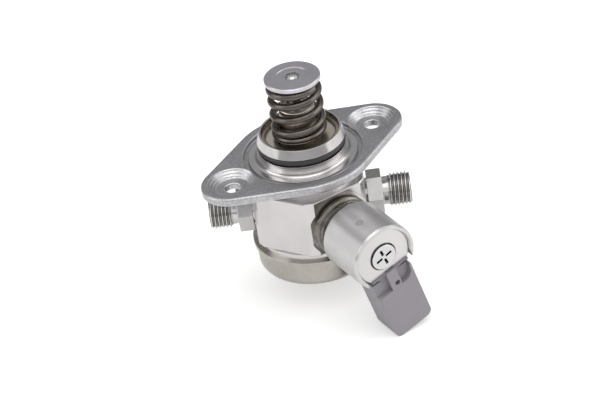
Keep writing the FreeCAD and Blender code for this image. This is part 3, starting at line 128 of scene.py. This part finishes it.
def metalMaterial(look):
    # every metal here is built the same way: colour that drifts a little, roughness that smears, tool marks
    # or grit as bump, and edges rounded and brightened where handling has polished them, on the flange also
    # by a painted highlight
    material, tree = newMaterial(look["name"])
    place = placeInMm(tree)
    drift = addNode(tree, "ShaderNodeTexNoise",
                    {"Scale": 1 / look["driftMm"], "Detail": 3.0, "Roughness": 0.55}, {"Vector": place})
    driftLow, driftHigh = look["driftSpan"]
    driftMix = addNode(tree, "ShaderNodeMapRange", {"From Min": driftLow, "From Max": driftHigh},
                       {"Value": drift.outputs[0]})
    base = addNode(tree, "ShaderNodeMix", {6: hexToLinear(look["hex"]), 7: hexToLinear(look["driftHex"])},
                   {0: driftMix.outputs[0]}, data_type="RGBA")
    grit = addNode(tree, "ShaderNodeTexNoise", {"Scale": 1 / look["gritMm"], "Detail": 2.0, "Roughness": 0.6},
                   {"Vector": place})
    colour = base.outputs[2]
    if look.get("speckHex"):
        speckLow, speckHigh = look["speckSpan"]
        speckMask = addNode(tree, "ShaderNodeMapRange",
                            {"From Min": speckLow, "From Max": speckHigh, "To Max": look["speckShare"]},
                            {"Value": grit.outputs[0]})
        colour = addNode(tree, "ShaderNodeMix", {7: hexToLinear(look["speckHex"])},
                         {0: speckMask.outputs[0], 6: colour}, data_type="RGBA").outputs[2]
    height = grit.outputs[0]
    heightMm = look["gritDepthMm"]
    if look.get("markMm"):
        count, radius, along, outward = latheCoordinate(tree, place, look["point"], look["axis"])
        marks = addNode(tree, "ShaderNodeTexNoise",
                        {"Scale": 1 / look["markMm"], "Detail": 2.0, "Roughness": 0.7}, {"W": count},
                        noise_dimensions="1D")
        height = addNode(tree, "ShaderNodeMix", {0: look["markShare"]},
                         {2: grit.outputs[0], 3: marks.outputs[0]}).outputs[0]
        heightMm = look["markDepthMm"]
        for ringMm, halfWidthMm, lowestMm, ringHex in look.get("rings", ()):
            # a ring of colour round the axis; the dark ones are painted shade, held in fine joints round
            # fitted pieces, in a groove and in the thread's roots
            onRing = addNode(tree, "ShaderNodeMath", {1: ringMm, 2: halfWidthMm}, {0: radius},
                             operation="COMPARE")
            away = addNode(tree, "ShaderNodeMath", links={0: along}, operation="ABSOLUTE")
            above = addNode(tree, "ShaderNodeMath", {1: lowestMm}, {0: away.outputs[0]},
                            operation="GREATER_THAN")
            both = addNode(tree, "ShaderNodeMath", links={0: onRing.outputs[0], 1: above.outputs[0]},
                           operation="MULTIPLY")
            colour = addNode(tree, "ShaderNodeMix", {7: hexToLinear(ringHex)},
                             {0: both.outputs[0], 6: colour}, data_type="RGBA").outputs[2]
        if look.get("pitShadeTopMm"):
            # painted shade: punch marks below the turned face are dark inside
            inPitShade = addNode(tree, "ShaderNodeMath", {1: look["pitShadeTopMm"]}, {0: along}, operation="LESS_THAN")
            colour = addNode(tree, "ShaderNodeMix", {7: hexToLinear(look["pitShadeHex"])},
                             {0: inPitShade.outputs[0], 6: colour}, data_type="RGBA").outputs[2]
    rounded = addNode(tree, "ShaderNodeBevel", {"Radius": look["edgeMm"] * mm}, samples=bevelSamples)
    bump = addNode(tree, "ShaderNodeBump", {"Strength": look["bump"], "Distance": heightMm * mm},
                   {"Height": height, "Normal": rounded.outputs[0]})
    # worn edges, and on the flange a painted highlight along its rounded rims: where the rounded normal
    # leaves the flat one
    flat = addNode(tree, "ShaderNodeNewGeometry")
    same = addNode(tree, "ShaderNodeVectorMath", links={0: rounded.outputs[0], 1: flat.outputs["Normal"]},
                   operation="DOT_PRODUCT")
    fresh, polished = look["wornAndSheenSpan"]
    wornAndSheen = addNode(tree, "ShaderNodeMapRange",
                   {"From Min": fresh, "From Max": polished, "To Max": look["wearAndSheen"]},
                   {"Value": same.outputs["Value"]})
    colour = addNode(tree, "ShaderNodeMix", {7: hexToLinear(look["wornAndSheenHex"])},
                     {0: wornAndSheen.outputs[0], 6: colour}, data_type="RGBA").outputs[2]
    smear = addNode(tree, "ShaderNodeTexNoise", {"Scale": 1 / look["smearMm"], "Detail": 4.0},
                    {"Vector": place})
    smearLow, smearHigh = look["smearSpan"]
    rough = addNode(tree, "ShaderNodeMapRange", {"From Min": smearLow, "From Max": smearHigh,
                                                 "To Min": look["roughLow"], "To Max": look["roughHigh"]},
                    {"Value": smear.outputs[0]})
    shader = addNode(tree, "ShaderNodeBsdfPrincipled", {"Metallic": 1.0},
                     {"Base Color": colour, "Roughness": rough.outputs[0], "Normal": bump.outputs[0]})
    if look.get("spun"):
        # fine circular brushing stretches reflections across its own direction
        groove = addNode(tree, "ShaderNodeVectorMath", {0: look["axis"]}, {1: outward},
                         operation="CROSS_PRODUCT")
        across = addNode(tree, "ShaderNodeVectorMath",
                         links={0: groove.outputs[0], 1: flat.outputs["Normal"]}, operation="CROSS_PRODUCT")
        shader.inputs["Anisotropic"].default_value = look["spun"]
        tree.links.new(across.outputs[0], shader.inputs["Tangent"])
    addNode(tree, "ShaderNodeOutputMaterial", links={"Surface": shader.outputs[0]})
    return material


def dullMaterial(look):
    # moulded plastics and rubbers: a matte skin with fine grain and slightly rounded edges
    material, tree = newMaterial(look["name"])
    place = placeInMm(tree)
    drift = addNode(tree, "ShaderNodeTexNoise", {"Scale": 1 / look["driftMm"], "Detail": 4.0},
                    {"Vector": place})
    base = addNode(tree, "ShaderNodeMix", {6: hexToLinear(look["hex"]), 7: hexToLinear(look["driftHex"])},
                   {0: drift.outputs[0]}, data_type="RGBA")
    grain = addNode(tree, "ShaderNodeTexNoise", {"Scale": 1 / look["grainMm"], "Detail": 2.0},
                    {"Vector": place})
    rounded = addNode(tree, "ShaderNodeBevel", {"Radius": look["edgeMm"] * mm}, samples=bevelSamples)
    bump = addNode(tree, "ShaderNodeBump", {"Strength": look["bump"], "Distance": look["grainDepthMm"] * mm},
                   {"Height": grain.outputs[0], "Normal": rounded.outputs[0]})
    rough = addNode(tree, "ShaderNodeMapRange", {"To Min": look["roughLow"], "To Max": look["roughHigh"]},
                    {"Value": grain.outputs[0]})
    shader = addNode(tree, "ShaderNodeBsdfPrincipled", {"IOR": look["ior"]},
                     {"Base Color": base.outputs[2], "Roughness": rough.outputs[0],
                      "Normal": bump.outputs[0]})
    addNode(tree, "ShaderNodeOutputMaterial", links={"Surface": shader.outputs[0]})
    return material


portHeightMm = mounts["outlet_bore"]["pos_m"][2] / mm
solenoidPoint = (0.0, 0.0, portHeightMm)
pumpAxis = (0.0, 0.0, 1.0)
solenoidAxis = (0.0, -1.0, 0.0)
outletAxis = tuple(mounts["outlet_thread"]["axis"])

# values that most of the metals share; each finish below changes what it needs
# tool marks and grit are finer on the real metal, and are drawn coarse enough to show
# spans are the part of each noise that counts, and for wear and painted sheen how closely the rounded normal
# keeps to the flat
# shade and tone rings are radius, half width and least height along the axis in millimetres, then the colour
plainMetal = dict(driftMm=12.0, driftSpan=(0.35, 0.65), gritMm=0.25, gritDepthMm=0.006, bump=0.15,
                  edgeMm=0.18, wearAndSheen=0.6, wornAndSheenSpan=(0.995, 0.93), wornAndSheenHex="#F4F2F0",
                  smearMm=9.0, smearSpan=(0.3, 0.7), roughLow=0.2, roughHigh=0.25,
                  markShare=0.6, markDepthMm=0.006)

metalLooks = {
    # stainless bar, turned then vibratory polished: bright, pale, a little warm, faint rings on turned faces
    "turned_steel": dict(plainMetal, name="polishedTurnedStainless", hex="#D2CFCF", driftHex="#CAC7C7",
                         markMm=0.5, point=(0, 0, 0), axis=pumpAxis, bump=0.1,
                         # inside the spigot's recess: two dark rings of painted shade, with a tan ring
                         # between them
                         rings=((15.4, 0.22, 7.0, "#4A443E"), (14.75, 0.3, 7.0, "#B39C7C"),
                                (14.15, 0.2, 7.0, "#6E655B"))),
    # stamped plate, zinc-nickel plated: darker grey with edges burnished bright and painted brighter still as
    # a highlight along the rounded rims, and a fine crystalline speckle that is drawn coarser than it is, so
    # that it shows
    "flange_steel": dict(plainMetal, name="zincNickelPlatedStamping", hex="#B4B4B7", driftHex="#A2A2A7",
                         speckHex="#DADADB", speckShare=0.6, speckSpan=(0.45, 0.7), gritMm=0.9,
                         gritDepthMm=0.015, bump=0.4, edgeMm=0.9, roughLow=0.3, roughHigh=0.36,
                         wearAndSheen=0.85, wornAndSheenHex="#F0EFEE"),
    # thin strip, deep drawn: satin with the faint warm tint of drawing oil baked on in welding
    # its colour is painted paler than the bare metal, as painted light against the shade inside the spigot
    "drawn_steel": dict(plainMetal, name="deepDrawnStainless", hex="#E8E1D6", driftHex="#D6CBBA",
                        roughLow=0.26, roughHigh=0.32),
    # deep drawn cap, tumbled: warm light grey, soft reflections
    "cover_steel": dict(plainMetal, name="tumbledDrawnStainless", hex="#B9B5AF", driftHex="#AEA9A2",
                        markMm=0.8, point=(0, 0, 0), axis=pumpAxis, roughLow=0.26, roughHigh=0.31),
    # magnetic stainless can, spun and brushed round its axis: satin with soft bands
    "can_steel": dict(plainMetal, name="brushedMagneticStainless", hex="#D0CECE", driftHex="#C8C6C6",
                      markMm=0.4, point=solenoidPoint, axis=solenoidAxis, roughLow=0.3, roughHigh=0.36,
                      spun=0.8),
    # blanked cold rolled plate, bright: near white
    "plate_steel": dict(plainMetal, name="brightRolledPlate", hex="#D8D5D5", driftHex="#D1CECE",
                        markMm=1.5, point=solenoidPoint, axis=solenoidAxis, markShare=0.1,
                        # both rings are painted shade: in the gap round the core's head and in the joint at
                        # the plate's edge
                        rings=((5.85, 0.1, 0.0, "#5A5652"), (11.6, 0.12, 0.0, "#5A5652")),
                        roughLow=0.28, roughHigh=0.34),
    # free-cutting steel, turned, nickel plated: bright with dark reflections
    "fitting_steel": dict(plainMetal, name="nickelPlatedTurnedSteel", hex="#CFCECD", driftHex="#C7C6C5",
                          markMm=0.4, point=solenoidPoint, axis=outletAxis, roughLow=0.17, roughHigh=0.22,
                          # the ring is painted shade in the thread's roots
                          bump=0.08, rings=((6.14, 0.2, 32.0, "#85817D"),)),
    # hardened and ground: mirror-like
    "hard_steel": dict(plainMetal, name="groundHardenedSteel", hex="#C4C4C6", driftHex="#B9B9BC",
                       markMm=0.2, point=(0, 0, 0), axis=pumpAxis, roughLow=0.1, roughHigh=0.18, bump=0.08),
    # case hardened and ground disc: mid grey satin with faint concentric marks
    "retainer_steel": dict(plainMetal, name="caseHardenedGroundDisc", hex="#CDCBD1", driftHex="#C5C3C9",
                           markMm=0.5, point=(0, 0, 0), axis=pumpAxis, roughLow=0.3, roughHigh=0.35),
    # oil-tempered spring wire: dark grey-brown with a soft sheen
    "spring_steel": dict(plainMetal, name="oilTemperedWire", hex="#706965", driftHex="#5C5550",
                         roughLow=0.22, roughHigh=0.3, wornAndSheenHex="#8F8882", gritMm=0.3, bump=0.3),
    # solenoid iron: bright turned, slightly blue
    "soft_iron": dict(plainMetal, name="turnedSolenoidIron", hex="#D6D6D7", driftHex="#CECED0",
                      markMm=0.4, point=solenoidPoint, axis=solenoidAxis, roughLow=0.2, roughHigh=0.26),
    # woven stainless gauze of the strainer, drawn as a satin cup
    "strainer_mesh": dict(plainMetal, name="stainlessGauze", hex="#A8A49C", driftHex="#8E8A83",
                          roughLow=0.35, roughHigh=0.5, gritMm=0.15, bump=0.8),
    # enamelled magnet wire: copper under clear varnish
    "winding_copper": dict(plainMetal, name="enamelledCopperWire", hex="#C0703C", driftHex="#A85C2E",
                           markMm=0.3, point=solenoidPoint, axis=solenoidAxis, roughLow=0.25,
                           roughHigh=0.35, bump=0.8),
    # brass pins under bright tin
    "terminal_brass": dict(plainMetal, name="tinnedBrass", hex="#D5D0C2", driftHex="#CFC6A8",
                           roughLow=0.22, roughHigh=0.32),
}

# values that the plastics and rubbers share; their grain is drawn coarser than it is, so that it shows
plainPolymer = dict(driftMm=7.0, grainMm=0.2, grainDepthMm=0.01, bump=0.35, edgeMm=0.2, ior=1.5,
                    roughLow=0.42, roughHigh=0.58)

dullLooks = {
    # fluorocarbon rubber rings: dark grey, smooth, faintly oily
    "ring_rubber": dict(plainPolymer, name="fluorocarbonRubber", hex="#3B3B3D", driftHex="#2F2F31",
                        roughLow=0.35, roughHigh=0.5),
    # filled fluoropolymer lip seal: brown-grey and waxy
    "seal_polymer": dict(plainPolymer, name="filledFluoropolymer", hex="#6A5B4C", driftHex="#5A4C3F",
                         ior=1.38),
    # black glass-filled polyamide former
    "bobbin_plastic": dict(plainPolymer, name="glassFilledPolyamideFormer", hex="#2C2B2D",
                           driftHex="#242325"),
    # grey glass-filled polyamide with a spark-eroded mould skin: matte, slightly mottled
    "connector_plastic": dict(plainPolymer, name="greyGlassFilledPolyamide", hex="#8B878D",
                              driftHex="#949096", roughLow=0.5, roughHigh=0.66, bump=0.5, grainMm=0.3,
                              grainDepthMm=0.02),
}

# the end of the solenoid's core: the same turned iron, with painted shade dark inside its four punch marks
coreFaceMm = -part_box("pole_core")[0].y / mm
shadeStartMm = 0.12      # depth from which a punch mark takes the painted shade
coreLook = dict(metalLooks["soft_iron"], name="stakedSolenoidIron", pitShadeTopMm=coreFaceMm - shadeStartMm,
                pitShadeHex="#1E1C1B")
# the solenoid's turned base, painted darker as its shade and dark reflections: olive-brown grey over the bare
# steel
shadedBaseLook = dict(metalLooks["turned_steel"], name="paintedShadeStainless", hex="#86817A",
                      driftHex="#6E685F", point=solenoidPoint, axis=solenoidAxis, roughLow=0.22,
                      roughHigh=0.27, bump=0.06, rings=())

materials = {slot: metalMaterial(look) for slot, look in metalLooks.items()}
materials.update({slot: dullMaterial(look) for slot, look in dullLooks.items()})
slotOfNode = {part["node"]: part["material_slot"] for part in frame["record"]["subparts"]}
for nodeName, node in frame["nodes"].items():
    for place in node.material_slots:
        place.material = materials[slotOfNode[nodeName]]
ownLooks = {"solenoid_base": shadedBaseLook, "pole_core": coreLook}
for nodeName, look in ownLooks.items():
    for place in frame["nodes"][nodeName].material_slots:
        place.material = metalMaterial(look)
print("materials made:", len(materials) + len(ownLooks))


# Meshes

def meshObject(name, vertices, faces, slotName, smoothDeg=35):
    mesh = bpy.data.meshes.new(name)
    mesh.from_pydata(vertices, [], faces)
    work = bmesh.new()
    work.from_mesh(mesh)
    nearMm = 0.0005          # corners closer than this are one
    bmesh.ops.remove_doubles(work, verts=work.verts, dist=nearMm * mm)
    bmesh.ops.dissolve_degenerate(work, edges=work.edges, dist=nearMm * mm)
    bmesh.ops.recalc_face_normals(work, faces=work.faces)
    for edge in work.edges:
        edge.smooth = not (edge.is_manifold and edge.calc_face_angle(0) > math.radians(smoothDeg))
    for face in work.faces:
        face.smooth = True
    work.to_mesh(mesh)
    work.free()
    thing = bpy.data.objects.new(name, mesh)
    scene.collection.objects.link(thing)
    mesh.materials.append(materials[slotName])
    return thing


# Pipe fittings: a hexagon, a neck and a real M14 x 1.5 thread

fitting = dict(
    segments=96,             # 16 to each flat
    flatsMm=16.0, hexStartMm=23.4, hexEndMm=29.4, edgeBreakMm=0.12,
    footRadiusMm=6.1, neckRadiusMm=5.75, neckEndMm=31.9, neckRoundMm=0.3,
    threadRadiusMm=6.9, threadRootMm=5.98, pitchMm=1.5, threadEndMm=40.9,
    boreRadiusMm=2.6, boreFloorMm=22.0, seatRadiusMm=4.3, seatDepthMm=2.9,
    threadRows=((0.0, 1.0), (0.14, 1.0), (0.5, 0.0), (0.64, 0.0)),   # share of the pitch, share of the depth
    leadTurns=1.5, spareTurns=3,     # turns that the thread has before its blank, and more than its length
)


def hexRadius(values, share, inset=0.0):
    # distance from the axis to the hexagon's side, a share of a whole turn on from one of its corners
    side = math.radians(60)
    offFlat = (share * 2 * math.pi) % side - side / 2
    return (values["flatsMm"] / 2 - inset) / math.cos(offFlat)


def threadRow(values, row, share, low, high):
    # one row of the thread's surface climbs a pitch in a whole turn, so the crests stay sharp all round
    rows = values["threadRows"]
    start, depth = rows[row % len(rows)]
    # the thread starts before its blank and runs past it, so that it is cut all round at both ends
    rise = (row // len(rows) + start - values["leadTurns"] + share) * values["pitchMm"]
    height = min(max(low + rise, low), high)
    crest = values["threadRootMm"] + depth * (values["threadRadiusMm"] - values["threadRootMm"])
    lead = values["threadRootMm"] + min(height - low, high - height)
    return min(crest, max(lead, values["threadRootMm"])), height


def fittingMesh(values, name, mountName, cornerDeg):
    count = values["segments"]
    shares = [place / count for place in range(count)]
    edge = values["edgeBreakMm"]
    hexLow, hexHigh = values["hexStartMm"], values["hexEndMm"]
    root, neck, neckRound = values["threadRootMm"], values["neckRadiusMm"], values["neckRoundMm"]
    low, high = values["neckEndMm"], values["threadEndMm"]
    bore, boreFloor = values["boreRadiusMm"], values["boreFloorMm"]
    plainRings = [
        lambda share: (bore, boreFloor),
        lambda share: (values["footRadiusMm"], boreFloor),
        lambda share: (values["footRadiusMm"], hexLow),
        lambda share: (hexRadius(values, share, edge), hexLow),
        lambda share: (hexRadius(values, share), hexLow + edge),
        lambda share: (hexRadius(values, share), hexHigh - edge),
        lambda share: (hexRadius(values, share, edge), hexHigh),
        lambda share: (neck + neckRound, hexHigh),
        lambda share: (neck, hexHigh + neckRound),
        lambda share: (neck, low - neckRound),
        lambda share: (root, low),
    ]
    rows = int((high - low) / values["pitchMm"] + values["spareTurns"]) * len(values["threadRows"])
    endRings = [
        lambda share: (root, high),
        lambda share: (values["seatRadiusMm"], high),
        lambda share: (bore, high - values["seatDepthMm"]),
        lambda share: (bore, boreFloor),
    ]
    grid = [[ring(share) for share in shares] for ring in plainRings]
    threadStart = len(grid)
    grid += [[threadRow(values, row, share, low, high) for share in shares] for row in range(rows)]
    threadStop = len(grid)
    grid += [[ring(share) for share in shares] for ring in endRings]

    axis = Vector(mounts[mountName]["axis"])
    side = axis.cross(Vector(pumpAxis)).normalized()
    up = side.cross(axis)
    origin = Vector((0, 0, portHeightMm))
    vertices = []
    for ring in grid:
        for share, (radius, height) in zip(shares, ring):
            turn = math.radians(cornerDeg) + share * 2 * math.pi
            spot = origin + axis * height + (side * math.cos(turn) + up * math.sin(turn)) * radius
            vertices.append(spot * mm)
    climb = len(values["threadRows"])
    faces = []
    for ring in range(len(grid) - 1):
        for place in range(count):
            after = (place + 1) % count
            shift = climb if after == 0 else 0
            first, second = ring, ring + 1
            nextFirst, nextSecond = first, second
            if shift and threadStart <= first and second < threadStop:
                nextFirst = min(first + shift, threadStop - 1)
                nextSecond = min(second + shift, threadStop - 1)
            faces.append([first * count + place, nextFirst * count + after, nextSecond * count + after,
                          second * count + place])
    return meshObject(name, vertices, faces, "fitting_steel", smoothDeg=25)


# one corner of each hexagon stands 10 degrees above level, on the side of the solenoid
for pieceName, mountName, nodeName, cornerDeg in (
        ("outlet_threaded_fitting", "outlet_thread", "outlet_fitting", 10),
        ("inlet_threaded_fitting", "inlet_thread", "inlet_fitting", 170)):
    piece = fittingMesh(fitting, pieceName, mountName, cornerDeg)
    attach(piece, "pump_body")
    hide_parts(nodeName)
print("fittings made")


# Return spring: one wire, wound right-handed, with closed ends

coil = dict(
    meanRadiusMm=9.5, wireRadiusMm=1.5, turns=4.64, closedLow=1.39, closedHigh=0.75,
    closedPitchMm=3.015,     # closed turns almost touch
    firstDeg=62, stepsPerTurn=40, wireSegments=20,
)


def coilHeight(values, turn, low, high):
    # closed turns lie on each other, and the open ones share what is left of the height
    closedPitch = values["closedPitchMm"]
    lowRise = closedPitch * values["closedLow"]
    highRise = closedPitch * values["closedHigh"]
    travel = high - low - 2 * values["wireRadiusMm"]
    openTurns = values["turns"] - values["closedLow"] - values["closedHigh"]
    if turn <= values["closedLow"]:
        rise = closedPitch * turn
    elif turn >= values["turns"] - values["closedHigh"]:
        rise = travel - closedPitch * (values["turns"] - turn)
    else:
        rise = lowRise + (travel - lowRise - highRise) * (turn - values["closedLow"]) / openTurns
    return low + values["wireRadiusMm"] + rise


def springMesh(values, name, low, high):
    steps = int(values["turns"] * values["stepsPerTurn"])
    sides = values["wireSegments"]
    wire = values["wireRadiusMm"]
    vertices, faces = [], []
    for step in range(steps + 1):
        turn = values["turns"] * step / steps
        angle = math.radians(values["firstDeg"]) + 2 * math.pi * turn
        outward = Vector((math.cos(angle), math.sin(angle), 0))
        middle = outward * values["meanRadiusMm"] + Vector((0, 0, coilHeight(values, turn, low, high)))
        for side in range(sides):
            around = 2 * math.pi * side / sides
            spot = middle + (outward * math.cos(around) + Vector(pumpAxis) * math.sin(around)) * wire
            vertices.append(spot * mm)
    for step in range(steps):
        for side in range(sides):
            after = (side + 1) % sides
            faces.append([step * sides + side, step * sides + after, (step + 1) * sides + after,
                          (step + 1) * sides + side])
    faces.append(list(range(sides)))
    faces.append(list(range(steps * sides, (steps + 1) * sides)))
    return meshObject(name, vertices, faces, "spring_steel")


springLow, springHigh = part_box("return_spring")
spring = springMesh(coil, "wound_return_spring", springLow.z / mm, springHigh.z / mm)
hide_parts("return_spring")
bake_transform(spring)
print("return spring made")


# Connector: the CAD moulding, with the pockets of its neck shaped as they are moulded

plugDown = Vector(mounts["connector_socket"]["axis"])
plugSide = Vector(solenoidAxis).cross(plugDown).normalized()

neckShape = dict(
    frontMm=53.0, pocketFloorMm=50.8, plateEdgeMm=7.75, pocketTopMm=8.5, pocketEndMm=17.0,
    outerMm=8.0, sideMm=9.5, tongueMm=2.4, cornerMm=4.2, cornerSteps=10,
    holeMm=(15.0, 0.7), holeRadiusMm=1.15, holeFloorMm=51.4, holeSides=32,
    weldMm=0.001,            # corners of the CAD mesh closer than this are one
    sunkMm=0.2, shyMm=0.02,  # how far the added corner goes into the walls, and stays behind the front
    clearMm=1.0,             # how far a cutter stands out of the front
)


def prism(outline, backMm, frontMm):
    # an outline in millimetres down and across from the solenoid's axis, drawn out along that axis
    mesh = bpy.data.meshes.new("cutter")
    count = len(outline)
    start, front = Vector(solenoidPoint), Vector(solenoidAxis)
    spots = [(start + plugDown * down + plugSide * across + front * out) * mm
             for out in (backMm, frontMm) for down, across in outline]
    faces = [list(range(count)), list(range(count, 2 * count))]
    for place in range(count):
        after = (place + 1) % count
        faces.append([place, after, count + after, count + place])
    work = bmesh.new()
    corners = [work.verts.new(spot) for spot in spots]
    for face in faces:
        work.faces.new([corners[place] for place in face])
    bmesh.ops.recalc_face_normals(work, faces=work.faces)
    work.to_mesh(mesh)
    work.free()
    tool = bpy.data.objects.new("cutter", mesh)
    scene.collection.objects.link(tool)
    return tool


def arc(down, across, radius, firstDeg, lastDeg, steps):
    turns = [math.radians(firstDeg + (lastDeg - firstDeg) * step / steps) for step in range(steps + 1)]
    return [(down + radius * math.cos(turn), across + radius * math.sin(turn)) for turn in turns]


def connectorMesh(values, name, nodeName):
    work = bmesh.new()
    work.from_mesh(frame["nodes"][nodeName].data)
    bmesh.ops.remove_doubles(work, verts=work.verts, dist=values["weldMm"] * mm)
    mesh = bpy.data.meshes.new("blank")
    work.to_mesh(mesh)
    work.free()
    blank = bpy.data.objects.new("blank", mesh)
    scene.collection.objects.link(blank)
    edge, top, end = values["plateEdgeMm"], values["pocketTopMm"], values["pocketEndMm"]
    floor, front, sunk = values["pocketFloorMm"], values["frontMm"], values["sunkMm"]
    clear = front + values["clearMm"]
    side, tongue, outer, corner = values["sideMm"], values["tongueMm"], values["outerMm"], values["cornerMm"]
    openTops = [[(edge, -side), (edge, -tongue), (top, -tongue), (top, -side)],
                [(edge, tongue), (edge, outer), (top, outer), (top, tongue)]]
    rounding = arc(end - corner, outer - corner, corner, 90, 0, values["cornerSteps"])
    rounding += [(end + sunk, outer - corner), (end + sunk, outer + sunk), (end - corner, outer + sunk)]
    holeSides = values["holeSides"]
    hole = arc(*values["holeMm"], values["holeRadiusMm"], 0, 360 - 360 / holeSides, holeSides - 1)
    steps = [("DIFFERENCE", prism(outline, floor, clear)) for outline in openTops]
    steps += [("UNION", prism(rounding, floor - sunk, front - values["shyMm"])),
              ("DIFFERENCE", prism(hole, values["holeFloorMm"], clear))]
    for operation, tool in steps:
        change = blank.modifiers.new(operation, "BOOLEAN")
        change.operation = operation
        change.object = tool
        change.solver = "EXACT"
    shaped = bpy.data.meshes.new_from_object(blank.evaluated_get(bpy.context.evaluated_depsgraph_get()))
    vertices = [vertex.co.copy() for vertex in shaped.vertices]
    faces = [list(face.vertices) for face in shaped.polygons]
    for thing in [blank] + [tool for operation, tool in steps]:
        bpy.data.objects.remove(thing)
    return meshObject(name, vertices, faces, "connector_plastic")


moulding = connectorMesh(neckShape, "moulded_connector", "connector_housing")
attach(moulding, "pump_body")
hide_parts("connector_housing")
print("connector made:", len(moulding.data.polygons), "faces")


# Floor, lamps, surroundings and camera

studio = dict(
    floorHex="#F7F7F6", fibreHex="#F3F3F2", fibreMm=20.0, roughness=0.9, floorMm=6000, floorGapMm=0.02,
    paperGlow=0.3, mirrorGlow=0.08, nearMm=250, farMm=600,      # glow to the eye, and to metal near and far
    lamps=(                                                     # name, place and size in metres, watts
        ("leftPanel", (-0.95, 0.35, 0.4), 0.7, 0.8, 3.0),
        ("rightPanel", (0.9, -0.6, 0.35), 0.9, 0.7, 3.0),
        ("topPanel", (-0.1, -0.2, 1.1), 0.9, 0.9, 3.0),
    ),
    walls=((0.45, 0.9, 0.25, 0.95), (0.08, 0.3, 0.28, 0.95)),   # back, front: heights, then how bright
    backToFront=(0.35, -0.15),                                  # along Y, one wall gives way to the other
)


def makeFloor(values):
    half = values["floorMm"] / 2 * mm
    level = cadBox[0][2] - values["floorGapMm"] * mm
    mesh = bpy.data.meshes.new("floor")
    corners = [(-half, -half, level), (half, -half, level), (half, half, level), (-half, half, level)]
    mesh.from_pydata(corners, [], [(0, 1, 2, 3)])
    floor = bpy.data.objects.new("floor", mesh)
    scene.collection.objects.link(floor)
    material, tree = newMaterial("palePaper")
    place = placeInMm(tree)
    fibre = addNode(tree, "ShaderNodeTexNoise", {"Scale": 1 / values["fibreMm"]}, {"Vector": place})
    paper = addNode(tree, "ShaderNodeMix",
                    {6: hexToLinear(values["floorHex"]), 7: hexToLinear(values["fibreHex"])},
                    {0: fibre.outputs[0]}, data_type="RGBA")
    shader = addNode(tree, "ShaderNodeBsdfPrincipled", {"Roughness": values["roughness"]},
                     {"Base Color": paper.outputs[2]})
    # the paper reads as white to the camera, glows a little for metal that mirrors it, and keeps the shadow
    rays = addNode(tree, "ShaderNodeLightPath")
    far = addNode(tree, "ShaderNodeVectorMath", links={0: place}, operation="LENGTH")
    mirrored = addNode(tree, "ShaderNodeMapRange", {"From Min": values["nearMm"], "From Max": values["farMm"],
                                                    "To Min": values["mirrorGlow"], "To Max": 0.0},
                       {"Value": far.outputs["Value"]})
    inMetal = addNode(tree, "ShaderNodeMath",
                      links={0: rays.outputs["Is Glossy Ray"], 1: mirrored.outputs[0]}, operation="MULTIPLY")
    strength = addNode(tree, "ShaderNodeMath", {1: values["paperGlow"]},
                       {0: rays.outputs["Is Camera Ray"], 2: inMetal.outputs[0]}, operation="MULTIPLY_ADD")
    glow = addNode(tree, "ShaderNodeEmission", links={"Strength": strength.outputs[0]})
    both = addNode(tree, "ShaderNodeAddShader", links={0: shader.outputs[0], 1: glow.outputs[0]})
    addNode(tree, "ShaderNodeOutputMaterial", links={"Surface": both.outputs[0]})
    mesh.materials.append(material)


def makeLamp(name, spot, aim, width, height, energy):
    lamp = bpy.data.lights.new(name, "AREA")
    lamp.shape = "RECTANGLE"
    lamp.size = width
    lamp.size_y = height
    lamp.energy = energy
    thing = bpy.data.objects.new(name, lamp)
    thing.location = spot
    thing.rotation_euler = (Vector(aim) - Vector(spot)).to_track_quat("-Z", "Y").to_euler()
    scene.collection.objects.link(thing)


def makeWorld(values):
    # the room as bare metal sees it: a bright front and ceiling, a dark back wall, a dark horizon
    world = bpy.data.worlds.new("studio")
    scene.world = world
    world.use_nodes = True
    tree = world.node_tree
    tree.nodes.clear()
    coords = addNode(tree, "ShaderNodeTexCoord")
    parts = addNode(tree, "ShaderNodeSeparateXYZ", links={0: coords.outputs["Generated"]})
    back, front = values["backToFront"]
    side = addNode(tree, "ShaderNodeMapRange", {"From Min": back, "From Max": front},
                   {"Value": parts.outputs["Y"]})
    levels = []
    for low, high, dim, bright in values["walls"]:
        levels.append(addNode(tree, "ShaderNodeMapRange",
                              {"From Min": low, "From Max": high, "To Min": dim, "To Max": bright},
                              {"Value": parts.outputs["Z"]}))
    level = addNode(tree, "ShaderNodeMix", links={0: side.outputs[0], 2: levels[0].outputs[0],
                                                  3: levels[1].outputs[0]})
    background = addNode(tree, "ShaderNodeBackground", links={"Color": level.outputs[0]})
    addNode(tree, "ShaderNodeOutputWorld", links={"Surface": background.outputs[0]})


makeFloor(studio)
makeWorld(studio)
middle = (Vector(cadBox[0]) + Vector(cadBox[1])) / 2
for name, spot, width, height, energy in studio["lamps"]:
    makeLamp(name, spot, middle, width, height, energy)

view = dict(
    azimuthDeg=27.73, elevationDeg=33.97, rollDeg=8.7, distanceMm=760.0, aimMm=(-6.34, -3.30, -19.57),
    lensMm=114.0, sensorMm=36.0,
)


def makeCamera(values):
    azimuth, elevation = math.radians(values["azimuthDeg"]), math.radians(values["elevationDeg"])
    back = Vector((-math.sin(azimuth) * math.cos(elevation), -math.cos(azimuth) * math.cos(elevation),
                   math.sin(elevation)))
    right = Vector((math.cos(azimuth), -math.sin(azimuth), 0))
    turned = Matrix.Rotation(math.radians(-values["rollDeg"]), 3, back)
    right = turned @ right
    up = back.cross(right)
    lens = bpy.data.cameras.new("photoCamera")
    lens.lens = values["lensMm"]
    lens.sensor_width = values["sensorMm"]
    camera = bpy.data.objects.new("photoCamera", lens)
    spot = Vector(values["aimMm"]) * mm + back * values["distanceMm"] * mm
    camera.matrix_world = Matrix.Translation(spot) @ Matrix((right, up, back)).transposed().to_4x4()
    scene.collection.objects.link(camera)
    scene.camera = camera


makeCamera(view)
scene.view_settings.view_transform = "Standard"
print("studio made")
